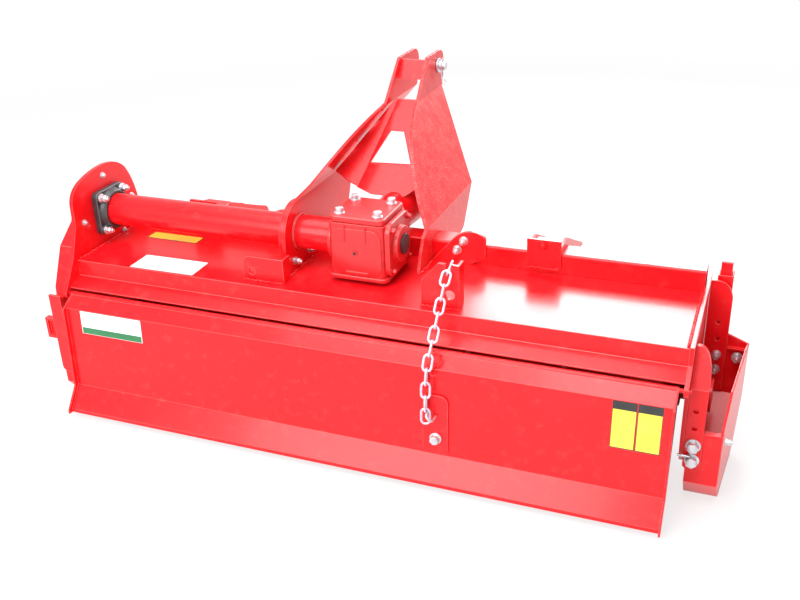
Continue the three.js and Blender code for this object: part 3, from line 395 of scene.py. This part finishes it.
def bestRounding(name, source, width, holes):
    # the first try that rounds well enough and stays within the plain shape, or else the best of them
    best, reached = None, -1
    for merge, part, held in rounding["tries"]:
        work = mergedCopy(source, merge, holes)
        plain = spread(work)
        area = sum(f.calc_area() for f in work.faces)
        share = rounded(work, width * part, held) * part
        stray = max(abs(a - b) for a, b in zip(plain, spread(work)))
        change = abs(sum(f.calc_area() for f in work.faces) / area - 1)
        plainEnough = held or stray < rounding["mostStray"] and change < rounding["mostChange"]
        sound = plainEnough and all(len(e.link_faces) == 2 for e in work.edges)
        if (sound or best is None) and share > reached:
            if best:
                best.free()
            best, reached = work, share if sound else 0
        else:
            work.free()
        if reached > rounding["enough"]:
            break
    if reached < rounding["enough"]:
        print("  less rounding on", name, round(reached, 3))
    return best


def pieceName(node):
    words = node.split("_")
    return words[0] + "".join(word.capitalize() for word in words[1:])


def softEdged(node, body, slotName, finish, width=rounding["width"], holes=()):
    # a copy of a plain node with rounded edges and even shading, which stands for it
    name = pieceName(node)
    work = bestRounding(name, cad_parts[node], width, holes)
    mesh = bpy.data.meshes.new(name)
    work.to_mesh(mesh)
    work.free()
    shaded(mesh, sharpAngles["plain"])
    shape = bpy.data.objects.new(name + "Work", mesh)
    bpy.context.scene.collection.objects.link(shape)
    even = shape.modifiers.new("even", "WEIGHTED_NORMAL")
    even.keep_sharp = True
    even.weight = 80  # large faces count for more than their roundings
    done = baked(shape)
    bpy.data.objects.remove(shape)
    done.materials.clear()
    piece = newPiece(name, done, body, [finish])
    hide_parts(node)


def drilled(work, holes):
    # each hole: place, direction, diameter and depth
    block = bpy.data.meshes.new("block")
    work.to_mesh(block)
    work.free()
    solid = bpy.data.objects.new("block", block)
    bpy.context.scene.collection.objects.link(solid)
    cut = bmesh.new()
    for place, toward, diameter, depth in holes:
        turn = Vector(toward).to_track_quat("Z", "Y").to_matrix().to_4x4()
        bmesh.ops.create_cone(cut, cap_ends=True, segments=24, depth=depth / 1000,
                              radius1=diameter / 2000, radius2=diameter / 2000,
                              matrix=Matrix.Translation(at(*place)) @ turn)
    cutMesh = bpy.data.meshes.new("drill")
    cut.to_mesh(cutMesh)
    cut.free()
    drill = bpy.data.objects.new("drill", cutMesh)
    bpy.context.scene.collection.objects.link(drill)
    bore = solid.modifiers.new("bore", "BOOLEAN")
    bore.operation = "DIFFERENCE"
    bore.solver = "EXACT"
    bore.object = drill
    result = bmesh.new()
    result.from_mesh(baked(solid))
    bpy.data.objects.remove(solid)
    bpy.data.objects.remove(drill)
    joined(result)
    return result


rearwards = (0, -1, 0)
rightwards = (1, 0, 0)
upwards = (0, 0, 1)
strapHoles = {
    "right_rear_strap": [((853, -6, 267), rearwards, 13, 40), ((854, -6, 221), rearwards, 13, 40),
                         ((858, -6, 118), rearwards, 8, 40)],
    "right_front_strap": [((865, 354, 320), rearwards, 12, 40), ((868, 354, 272), rearwards, 12, 40)],
}
redSheets = [
    "hood_deck", "front_beam", "front_apron", "right_side_plate", "left_side_plate", "drive_case",
    "drive_case_cover", "drive_tube", "mast_left_leg", "mast_right_leg", "mast_strap", "mast_web",
    "tube_collar", "right_mast_clamp", "left_mast_clamp", "right_chain_bracket",
    "left_chain_bracket", "right_hitch_bracket", "left_hitch_bracket", "right_rear_strap",
    "right_front_strap", "right_skid", "stand_sleeve", "left_rear_strap", "left_front_strap",
    "left_skid", "left_case_lug", "rotor_bearing", "tailboard_hinge_rod", "input_guard",
]
redCastings = ["gearbox_housing", "gearbox_lid", "gearbox_side_cover", "input_bearing_cap"]
pinNodes = ["top_link_pin", "right_lower_link_pin", "left_lower_link_pin"]


# each of the rest: its body, its slot, its finish and the width of its roundings
otherNodes = {
    "tube_bearing_flange": ("frame", "cast_dark", darkIron, 3.0),
    "gearbox_side_seal": ("frame", "seal_rubber", blackRubber, 1.5),
    "input_shaft": ("input_shaft", "bare_steel", turnedSteel, 0.8),
    "tailboard": ("tailboard", "red_paint", redEnamel, 1.2),
    "tailboard_chain_plate": ("tailboard", "red_paint", redEnamel, 1.3),
    "parking_stand": ("parking_stand", "red_paint", redEnamel, 1.3),
    "stand_cap": ("parking_stand", "silver_cap", silverCap, 1.8),
    "rotor_shaft": ("rotor", "blade_steel", bladeSteel, 1.5),
}
for number in range(1, 8):
    otherNodes["tine_set_%d" % number] = ("rotor", "blade_steel", bladeSteel, 1.6)

for node in redSheets:
    # the right leg gets more and coarser pale grains: painted highlight speckle, with some dust
    finish = redSpeckled if node == "mast_right_leg" else redEnamel
    softEdged(node, "frame", "red_paint", finish, holes=strapHoles.get(node, ()))
for node in redCastings:
    softEdged(node, "frame", "red_paint", redCasting, width=3.2)
for node in pinNodes:
    softEdged(node, "frame", "bare_steel", zinc, width=1.0)
for node, look in otherNodes.items():
    softEdged(node, *look)
print("rounded pieces ready:", len(redSheets + redCastings + pinNodes) + len(otherNodes))


def newTree(name, sizes):
    # a geometry tree with named inputs and a geometry output; gives its bench and its inputs
    tree = bpy.data.node_groups.new(name, "GeometryNodeTree")
    tree.is_modifier = True
    for label, kind in [("Geometry", "NodeSocketGeometry")] + sizes:
        tree.interface.new_socket(label, in_out="INPUT", socket_type=kind)
    tree.interface.new_socket("Geometry", in_out="OUTPUT", socket_type="NodeSocketGeometry")
    bench = Bench(tree)
    given = tree.nodes.new("NodeGroupInput")
    return bench, {socket.name: Wire(bench, socket) for socket in given.outputs if socket.name}


def closeTree(bench, shape, finish):
    # plain faces and their finish, because copies are dropped when the model is saved
    real = bench.add("GeometryNodeRealizeInstances", {}, {"Geometry": shape})
    done = bench.add("GeometryNodeSetMaterial", {}, {"Geometry": real, "Material": finish})
    last = bench.tree.nodes.new("NodeGroupOutput")
    bench.tree.links.new(done.socket, last.inputs["Geometry"])
    return bench.tree


def grown(name, seedMesh, tree, sizes, bevel=0.0):
    # the tree's result on a seed mesh, as a plain mesh
    seed = bpy.data.objects.new(name + "Seed", seedMesh)
    bpy.context.scene.collection.objects.link(seed)
    growth = seed.modifiers.new("growth", "NODES")
    growth.node_group = tree
    for item in tree.interface.items_tree:
        if item.in_out == "INPUT" and item.name in sizes:
            growth[item.identifier] = sizes[item.name]
    if bevel:
        edge = seed.modifiers.new("edge", "BEVEL")
        edge.width = bevel / 1000
        edge.segments = 2
        edge.limit_method = "ANGLE"
        edge.angle_limit = math.radians(40)
    mesh = baked(seed)
    bpy.data.objects.remove(seed)
    shaded(mesh, sharpAngles["grown"])
    mesh.name = name
    return mesh


def pointSeed(rows):
    # one point a row: place, the way it faces, its size and its turn
    mesh = bpy.data.meshes.new("points")
    mesh.from_pydata([at(*row[0]) for row in rows], [], [])
    # each attribute is filled before the next is made, because making one moves the others
    aims = [number for row in rows for number in row[1]]
    mesh.attributes.new("aim", "FLOAT_VECTOR", "POINT").data.foreach_set("vector", aims)
    mesh.attributes.new("across", "FLOAT", "POINT").data.foreach_set("value", [row[2] / 1000 for row in rows])
    mesh.attributes.new("turn", "FLOAT", "POINT").data.foreach_set("value", [math.radians(row[3]) for row in rows])
    return mesh


def lineSeed(lines):
    # one run of edges a line
    mesh = bpy.data.meshes.new("lines")
    points, edges = [], []
    for line in lines:
        edges += [(len(points) + i, len(points) + i + 1) for i in range(len(line) - 1)]
        points += [at(*p) for p in line]
    mesh.from_pydata(points, edges, [])
    return mesh


def boltTree():
    # a six-sided head with a round crown, on a washer, with the end of its stud
    # sizes are shares of the width across the flats
    bench, given = newTree("bolts", [("Head", "NodeSocketFloat"), ("Stud", "NodeSocketFloat"),
                                     ("Washer", "NodeSocketFloat"), ("Finish", "NodeSocketMaterial")])

    def disc(sides, radius, deep, foot):
        tube = bench.add("GeometryNodeMeshCylinder", {},
                         {"Vertices": sides, "Radius": radius, "Depth": deep})
        lift = bench.add("ShaderNodeCombineXYZ", {}, {"Z": foot + 0.5 * deep})
        return bench.add("GeometryNodeTransform", {}, {"Geometry": tube, "Translation": lift})

    washer = disc(28, given["Washer"], 0.13, -0.02)
    head = disc(6, 0.577, given["Head"], 0.10)
    crown = disc(24, 0.46, 0.07, given["Head"] + 0.08)
    stud = disc(18, 0.30, given["Stud"], given["Head"] + 0.08)
    bolt = bench.tree.nodes.new("GeometryNodeJoinGeometry")
    for part in (washer, head, crown, stud):
        bench.tree.links.new(part.socket, bolt.inputs[0])
    aim = bench.add("GeometryNodeInputNamedAttribute", {"data_type": "FLOAT_VECTOR"}, {"Name": "aim"})
    across = bench.add("GeometryNodeInputNamedAttribute", {"data_type": "FLOAT"}, {"Name": "across"})
    turn = bench.add("GeometryNodeInputNamedAttribute", {"data_type": "FLOAT"}, {"Name": "turn"})
    facing = bench.add("FunctionNodeAlignRotationToVector", {"axis": "Z"}, {"Vector": aim})
    spin = bench.add("FunctionNodeAxisAngleToRotation", {}, {"Axis": (0, 0, 1), "Angle": turn})
    facing = bench.add("FunctionNodeRotateRotation", {"rotation_space": "LOCAL"},
                       {"Rotation": facing, "Rotate By": spin})
    size = bench.add("ShaderNodeCombineXYZ", {}, {"X": across, "Y": across, "Z": across})
    placed = bench.add("GeometryNodeInstanceOnPoints", {}, {
        "Points": given["Geometry"], "Instance": Wire(bench, bolt.outputs[0]),
        "Rotation": facing, "Scale": size})
    return closeTree(bench, placed, given["Finish"])


bolts = {
    "plain": {"Head": 0.62, "Stud": 0.02, "Washer": 0.72},
    "studded": {"Head": 0.80, "Stud": 0.42, "Washer": 0.74},
    "round": {"Head": 0.34, "Stud": 0.30, "Washer": 0.66},
}
boxTop = 599.3
fourCorners = ((-1, 1), (1, 1), (-1, -1), (1, -1))
# each row: the body, the kind and the finish, then place, direction, width across the flats and turn
boltRows = {
    "gearboxLidBolts": ("frame", "plain", zinc, [((x, y, boxTop), upwards, 19, a) for x, y, a in (
        (-70, 121, 10), (34, 121, 25), (-70, 222, 48), (32, 222, 5))]),
    "gearboxCoverBolts": ("frame", "plain", redCasting, [
        ((76.3, 163 + 55 * a, 516 + 55 * b), rightwards, 13, 20 + 55 * a) for a, b in fourCorners]),
    "footPlateBolts": ("frame", "studded", zinc, [((-208, y, 448), rightwards, 16, y) for y in (120, 206)]),
    "bearingBolts": ("frame", "studded", zinc, [
        ((-801, 163 + 48 * a, 516 + 47 * b), rightwards, 18, 48 * a + 47 * b) for a, b in fourCorners]),
    "sidePlateBolts": ("frame", "round", zinc, [((-825, y, z), rightwards, 14, y) for y, z in (
        (163, 613), (56, 510), (278, 513), (221, 424))]),
    "mastClampBolts": ("frame", "studded", zinc, [((x, 292.7, z), rearwards, 17, x) for x, z in (
        (206, 486), (188, 458.5), (-374, 486), (-356, 458.5))]),
    "hitchBolts": ("frame", "plain", redEnamel, [((x, 294.7, z), rearwards, 17, z) for x, z in (
        (419, 498), (-587, 498))]),
    "rearStrapBolts": ("frame", "plain", zinc, [
        ((856, -10, 177), rearwards, 24, 12), ((856, -10, 137), rearwards, 24, 40)]),
    "frontStrapBolts": ("frame", "studded", zinc, [
        ((870, 350, 227), rearwards, 17, 8), ((871, 350, 185), rearwards, 17, 31),
        ((869, 350, 148), rearwards, 9, 0)]),
    "skidBolts": ("frame", "studded", zinc, [((921, 352, 227), rearwards, 19, 15)]),
    "skidWallStud": ("frame", "studded", zinc, [((924, 4, 193), rightwards, 13, 5)]),
    "chainPlateBolt": ("tailboard", "plain", zinc, [((263, -112.5, 135), (0, -1, 0.05), 21, 17)]),
}
boltGrowth = boltTree()
for name, (body, kind, finish, rows) in boltRows.items():
    mesh = grown(name, pointSeed(rows), boltGrowth, {**bolts[kind], "Finish": finish}, bevel=0.7)
    newPiece(name, mesh, body)
print("bolts ready:", sum(len(row[3]) for row in boltRows.values()))

chain = {
    "path": [(251, 40, 522), (251, 12, 512), (241, -108, 323), (242, -121, 262), (243, -126, 203)],
    # where it is held on the frame and where it hangs on the tailboard
    "held": (251, 12, 512), "pulled": (243, -126, 215),
    "sizes": {"Pitch": 0.0335, "Width": 0.0275, "Wire": 0.0066, "Finish": chainZinc},
    "firstTurn": 1.62,
}


def chainTree():
    # oval links along a line, each turned a quarter from the last
    bench, given = newTree("chain", [("Pitch", "NodeSocketFloat"), ("Width", "NodeSocketFloat"),
                                     ("Wire", "NodeSocketFloat"), ("Finish", "NodeSocketMaterial")])
    line = bench.add("GeometryNodeMeshToCurve", {}, {"Mesh": given["Geometry"]})
    stops = bench.add("GeometryNodeResampleCurve", {"mode": "LENGTH"},
                      {"Curve": line, "Length": given["Pitch"]})
    breadth = given["Width"] - given["Wire"]
    ring = bench.add("GeometryNodeCurvePrimitiveQuadrilateral", {}, {
        "Width": given["Pitch"] + given["Wire"], "Height": breadth})
    ring = bench.add("GeometryNodeFilletCurve", {"mode": "POLY"}, {
        "Curve": ring, "Radius": breadth * 0.5, "Count": 6, "Limit Radius": True})
    wire = bench.add("GeometryNodeCurvePrimitiveCircle", {},
                     {"Resolution": 10, "Radius": given["Wire"] * 0.5})
    link = bench.add("GeometryNodeCurveToMesh", {}, {"Curve": ring, "Profile Curve": wire})
    along = bench.add("GeometryNodeInputTangent")
    facing = bench.add("FunctionNodeAlignRotationToVector", {"axis": "X"}, {"Vector": along})
    facing = bench.add("FunctionNodeAlignRotationToVector", {"axis": "Z", "pivot_axis": "X"},
                       {"Rotation": facing, "Vector": (0.25, -1, 0.1)})
    quarter = bench.add("GeometryNodeInputIndex") * (math.pi / 2) + chain["firstTurn"]
    spin = bench.add("FunctionNodeAxisAngleToRotation", {}, {"Axis": (1, 0, 0), "Angle": quarter})
    facing = bench.add("FunctionNodeRotateRotation", {"rotation_space": "LOCAL"},
                       {"Rotation": facing, "Rotate By": spin})
    placed = bench.add("GeometryNodeInstanceOnPoints", {},
                       {"Points": stops, "Instance": link, "Rotation": facing})
    return closeTree(bench, placed, given["Finish"])


chainLinks = grown("tailboardChain", lineSeed([chain["path"]]), chainTree(), chain["sizes"])
links = newPiece("tailboardChain", chainLinks, None)
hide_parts("tailboard_chain")
tuple(at(*chain["held"]))
tuple(at(*chain["pulled"]))
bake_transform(links)
print("chain ready")

welds = {
    "lines": [
        [(-204, 66, 421), (-204, 120, 421), (-204, 216, 421)],
        [(-312, 29, 421), (-258, 29, 421), (-202, 29, 421)],
        [(184, 24, 421), (230, 24, 421), (277, 24, 421)],
        [(118, 186, 421), (119, 230, 421), (119, 286, 421)],
        [(381, 292, 436), (461, 292, 436)],
        [(-549, 292, 436), (-629, 292, 436)],
        [(821, 12, 421), (821, 150, 421), (821, 292, 421)],
        [(-821, 12, 421), (-821, 150, 421), (-821, 292, 421)],
    ],
    "sizes": {"Step": 0.0048, "Bead": 0.0042, "Seed": 7, "Finish": redEnamel},
}


def weldTree():
    # flattened drops in a row, each a little different
    bench, given = newTree("welds", [("Step", "NodeSocketFloat"), ("Bead", "NodeSocketFloat"),
                                     ("Seed", "NodeSocketInt"), ("Finish", "NodeSocketMaterial")])
    line = bench.add("GeometryNodeMeshToCurve", {}, {"Mesh": given["Geometry"]})
    stops = bench.add("GeometryNodeResampleCurve", {"mode": "LENGTH"},
                      {"Curve": line, "Length": given["Step"]})
    drop = bench.add("GeometryNodeMeshUVSphere", {}, {"Segments": 10, "Rings": 6, "Radius": given["Bead"]})
    stray = bench.add("FunctionNodeRandomValue", {"data_type": "FLOAT_VECTOR"}, {
        "Min": (-0.0012, -0.0012, -0.0006), "Max": (0.0012, 0.0012, 0.0006), "Seed": given["Seed"]})
    stops = bench.add("GeometryNodeSetPosition", {}, {"Geometry": stops, "Offset": stray})
    size = bench.add("FunctionNodeRandomValue", {"data_type": "FLOAT_VECTOR"}, {
        "Min": (0.75, 0.75, 0.7), "Max": (1.3, 1.3, 1.05), "Seed": given["Seed"]})
    placed = bench.add("GeometryNodeInstanceOnPoints", {},
                       {"Points": stops, "Instance": drop, "Scale": size})
    return closeTree(bench, placed, given["Finish"])


beads = grown("weldBeads", lineSeed(welds["lines"]), weldTree(), welds["sizes"])
newPiece("weldBeads", beads, "frame")
print("welds ready")


def board(work, middle, across, up, width, height, corner, low, high, finishNumber=0):
    # a flat board with rounded corners, from one height above its plane to another
    across, up = Vector(across).normalized(), Vector(up).normalized()
    out = across.cross(up)
    rim = []
    for cornerX, cornerY, start in ((1, 1, 0), (-1, 1, 90), (-1, -1, 180), (1, -1, 270)):
        for step in range(6):  # six points to a corner, 18 degrees apart
            angle = math.radians(start + step * 18)
            rim.append((cornerX * (width / 2 - corner) + corner * math.cos(angle),
                        cornerY * (height / 2 - corner) + corner * math.sin(angle)))
    rows = []
    for lift in (low, high):
        points = [Vector(middle) + across * x + up * y + out * lift for x, y in rim]
        rows.append([work.verts.new(at(*point)) for point in points])
    faces = [work.faces.new(rows[1]), work.faces.new(list(reversed(rows[0])))]
    for i in range(len(rim)):
        j = (i + 1) % len(rim)
        faces.append(work.faces.new([rows[0][i], rows[0][j], rows[1][j], rows[1][i]]))
    for face in faces:
        face.material_index = finishNumber


forwards = (0, 1, 0)
tailboardUp = (0, 12, 234)
# each board: middle, the ways across and up, width, height, corner, lower and upper face, and which finish
labels = {
    "deckYellowPlate": {"body": "frame", "boards": [
        ((-649, 222, 420), rightwards, forwards, 166, 45, 2, 0.05, 0.5, 0),
        ((-649, 222, 420), rightwards, forwards, 161, 40, 1.5, 0.3, 0.62, 1)],
        "finishes": [blackFilm, yellowFilm]},
    "deckWhitePlate": {"body": "frame", "boards": [
        ((-558, 48, 420), (1, 0.01, 0), (-0.01, 1, 0), 196, 84, 2, 0.05, 0.6, 0)], "finishes": [whiteFilm]},
    "tailboardWhitePlate": {"body": "tailboard", "boards": [
        ((-668, -98, 284), rightwards, tailboardUp, 194, 66, 1.5, -1, 1.0, 0),
        ((-668, -99.3, 261), rightwards, tailboardUp, 190, 18, 1, -1, 1.15, 1)],
        "finishes": [whiteFilm, greenFilm]},
    "tailboardYellowPlates": {"body": "tailboard", "boards": [
        ((x, -99.0, 256), rightwards, tailboardUp, 55, 122, 2, -1, 0.6, 0) for x in (706, 763)] + [
        ((x, -99.5, 246.5), rightwards, tailboardUp, 52, 98, 1.2, -1, 0.85, 1) for x in (706, 763)],
        "finishes": [blackFilm, yellowFilm]},
}


def boardPiece(name, look):
    work = bmesh.new()
    for row in look["boards"]:
        board(work, *row)
    mesh = bpy.data.meshes.new(name)
    work.to_mesh(mesh)
    work.free()
    newPiece(name, mesh, look["body"], look["finishes"])


for name, look in labels.items():
    boardPiece(name, look)
print("labels ready")


def turnedRings(work, axisPlace, rings, sides=48):
    # a closed turned shape about an axis along x, its last ring joined to its first
    x, y, z = axisPlace
    angles = [2 * math.pi * i / sides for i in range(sides)]
    rows = []
    for along, radius in rings:
        ring = [at(x + along, y + radius * math.cos(a), z + radius * math.sin(a)) for a in angles]
        rows.append([work.verts.new(point) for point in ring])
    for r in range(len(rows)):
        near, far = rows[r], rows[(r + 1) % len(rows)]
        for i in range(sides):
            j = (i + 1) % sides
            work.faces.new([near[i], near[j], far[j], far[i]])


def finished(name, work, finish, width):
    # the shape with rounded edges, as a piece of the frame
    bmesh.ops.recalc_face_normals(work, faces=work.faces)
    rounded(work, width)
    mesh = bpy.data.meshes.new(name)
    work.to_mesh(mesh)
    work.free()
    shaded(mesh, sharpAngles["turned"])
    newPiece(name, mesh, "frame", [finish])


tubeY, tubeZ = 163, 516  # the drive tube's axis
# the turned shapes on the drive tube: the place across, then distances from it and radii
driveEnds = {
    "hub": (-807.4, [(0, 61), (9, 59), (19, 54), (19, 45.2), (0, 45.2)]),
    "boss": (-807.4, [(0, 14.5), (6.2, 13), (6.2, 3), (0, 3)]),
    "bossOut": 48, "bossUp": 47, "bossSides": 24,
    "flange": (-92.5, [(0, 62), (-9, 62), (-9, 54), (-15, 48), (-15, 44.8), (0, 44.8)]),
    "ring": (-208, [(0.3, 52), (5, 49), (7, 44.8), (0.3, 44.8)]),
}
x, rings = driveEnds["hub"]
hub = bmesh.new()
turnedRings(hub, (x, tubeY, tubeZ), rings)
finished("bearingHub", hub, darkIron, 1.6)
x, rings = driveEnds["boss"]
boss = bmesh.new()
for side, rise in fourCorners:
    middle = (x, tubeY + side * driveEnds["bossOut"], tubeZ + rise * driveEnds["bossUp"])
    turnedRings(boss, middle, rings, driveEnds["bossSides"])
finished("bearingBosses", boss, darkIron, 1.0)
flange = bmesh.new()
for part in ("flange", "ring"):
    x, rings = driveEnds[part]
    turnedRings(flange, (x, tubeY, tubeZ), rings)
finished("tubeFlanges", flange, redCasting, 1.4)

# rows as for the labels
gearboxBoards = {
    "panel": [((-15, 92.2, 507), rightwards, upwards, 136, 128, 26, -0.5, 3.2),
              ((-47, 92, 556), rightwards, upwards, 5, 42, 2.4, 2.0, 6.0),
              ((10.5, 92, 556), rightwards, upwards, 5, 42, 2.4, 2.0, 6.0),
              ((-15, 92, 452), rightwards, upwards, 64, 7, 3, 2.0, 5.2)],
    "foot": [((-15, 169, 430.6), rightwards, forwards, 166, 166, 16, 0.4, 12)],
    "plug": {"body": "frame", "finishes": [redCasting, blackRubber], "boards": [
        ((-19, 92, 506), rightwards, upwards, 15, 15, 7.49, 2.4, 6.0, 0),
        ((-19, 92, 506), rightwards, upwards, 9, 9, 4.49, 2.4, 6.5, 1)]},
}
for name, part, width in (("gearboxPanel", "panel", 1.4), ("gearboxFoot", "foot", 2.0)):
    work = bmesh.new()
    for row in gearboxBoards[part]:
        board(work, *row)
    finished(name, work, redCasting, width)
boardPiece("gearboxPlug", gearboxBoards["plug"])
print("gearbox details ready")


def rodAlong(name, points, diameter, body, slotName, finish, cyclic=False):
    # a bent round wire
    curve = bpy.data.curves.new(name, "CURVE")
    curve.dimensions = "3D"
    curve.bevel_depth = diameter / 2000
    curve.bevel_resolution = 3
    curve.use_fill_caps = True
    line = curve.splines.new("NURBS")
    line.points.add(len(points) - 1)
    for i, point in enumerate(points):
        line.points[i].co = (*at(*point), 1)
    line.order_u = 3
    line.resolution_u = 6
    line.use_endpoint_u = not cyclic
    line.use_cyclic_u = cyclic
    bend = bpy.data.objects.new(name + "Bend", curve)
    bpy.context.scene.collection.objects.link(bend)
    mesh = baked(bend)
    bpy.data.objects.remove(bend)
    for polygon in mesh.polygons:
        polygon.use_smooth = True
    mesh.materials.clear()
    newPiece(name, mesh, body, [finish])


clipX = -24  # the clip hangs here, on the top pin's right end
# each wire: its points, its thickness, its body, its slot, its finish and whether it closes on itself
wires = {
    "topPinClip": ([(clipX, 806, 845), (clipX, 806, 822), (clipX, 806, 795), (clipX - 1, 800, 781),
                    (clipX, 790, 787), (clipX, 787, 802), (clipX, 792, 812), (clipX, 786, 822),
                    (clipX, 792, 832), (clipX, 797, 842)], 4.2, "frame", "bare_steel", zinc),
    "topPinRing": ([(clipX + 2, 806, 783), (clipX + 8, 812, 774), (clipX + 6, 806, 764),
                    (clipX, 800, 768), (clipX - 2, 800, 778)], 2.6, "frame", "bare_steel", zinc, True),
    "hingeStopPin": ([(823, -17, 149), (838, -17, 149), (852, -17, 149)], 7,
                     "frame", "bare_steel", zinc),
    "chainShackle": ([(247, -114, 214), (247, -134, 214), (252, -140, 205), (262, -137, 197),
                      (264, -122, 197), (264, -112, 198)], 6.5, "tailboard", "bare_steel", zinc),
    "tailboardHook": ([(268, -76, 346), (270, -86, 346), (266, -93, 338), (258, -95, 330),
                       (252, -99, 320), (250, -106, 312), (256, -110, 304), (262, -106, 308)], 6,
                      "tailboard", "red_paint", redEnamel),
}
for name, look in wires.items():
    rodAlong(name, *look)
print("wire pieces ready")

floorLook = {
    "half": 30.0, "drop": 0.0005, "colour": (0.93, 0.93, 0.93), "cloud": (0.91, 0.91, 0.91),
    # the floor glows by this share, and from so many metres away it fades to white at so much a metre
    "glow": 0.72, "fadeFrom": 1.3, "fade": 0.3,
}


def makeFloor(look):
    mesh = bpy.data.meshes.new("floor")
    half = look["half"]
    corners = ((-half, -half), (half, -half), (half, half), (-half, half))
    mesh.from_pydata([(x, y, -look["drop"]) for x, y in corners], [], [(0, 1, 2, 3)])
    floor = bpy.data.objects.new("floor", mesh)
    bpy.context.scene.collection.objects.link(floor)
    boards = Finish("pale floor", {"Roughness": 0.6, "Specular IOR Level": 0.2})
    cloud = boards.noise(0.7, 2)
    boards.feed(Base_Color=boards.mix(cloud, look["colour"], look["cloud"]))
    path = boards.tree.nodes.new("ShaderNodeLightPath")
    seen = Wire(boards, path.outputs["Is Camera Ray"]) + Wire(boards, path.outputs["Is Glossy Ray"])
    pale = boards.add("ShaderNodeEmission", {}, {"Color": (1, 1, 1, 1), "Strength": 1.0})
    away = boards.add("ShaderNodeVectorMath", {"operation": "LENGTH"}, {0: boards.place}, out="Value")
    glow = look["glow"] + ((away - look["fadeFrom"]) * look["fade"]).held() * (1 - look["glow"])
    plain = Wire(boards, boards.shader.outputs[0])
    both = boards.add("ShaderNodeMixShader", {}, {0: seen.held() * glow, 1: plain, 2: pale})
    boards.tree.links.new(both.socket, boards.tree.nodes["Material Output"].inputs["Surface"])
    mesh.materials.append(boards.material)


studio = {
    "sky": 0.55,
    "lamps": [
        {"name": "front", "place": (-900, -3200, 2500), "aim": (0, 0, 300), "size": 2.4, "power": 135},
        {"name": "over", "place": (-600, 100, 3600), "aim": (-200, 100, 400), "size": 2.3, "power": 75},
        {"name": "back", "place": (80, 3300, 2000), "aim": (400, 200, 420), "size": 1.5, "power": 110},
        {"name": "behind", "place": (600, -1300, 3500), "aim": (500, 0, 300), "size": 1.4, "power": 45},
    ],
}


def makeStudio(look):
    world = bpy.data.worlds.new("studio")
    bpy.context.scene.world = world
    world.use_nodes = True
    sky = Bench(world.node_tree)
    path = world.node_tree.nodes.new("ShaderNodeLightPath")
    seen = Wire(sky, path.outputs["Is Camera Ray"]) + Wire(sky, path.outputs["Is Glossy Ray"])
    seen = (seen + Wire(sky, path.outputs["Is Transmission Ray"])).held()
    background = world.node_tree.nodes["Background"]
    background.inputs["Color"].default_value = (1, 1, 1, 1)
    strength = look["sky"] + seen * (1 - look["sky"])
    world.node_tree.links.new(strength.socket, background.inputs["Strength"])
    for lamp in look["lamps"]:
        data = bpy.data.lights.new(lamp["name"], "AREA")
        data.energy = lamp["power"]
        data.size = lamp["size"]
        light = bpy.data.objects.new(lamp["name"], data)
        bpy.context.scene.collection.objects.link(light)
        place = at(*lamp["place"])
        turn = (at(*lamp["aim"]) - place).to_track_quat("-Z", "Y").to_matrix().to_4x4()
        light.matrix_world = Matrix.Translation(place) @ turn
        light.visible_camera = False
    bpy.context.scene.view_settings.view_transform = "Standard"


makeFloor(floorLook)
makeStudio(studio)
print("studio ready")
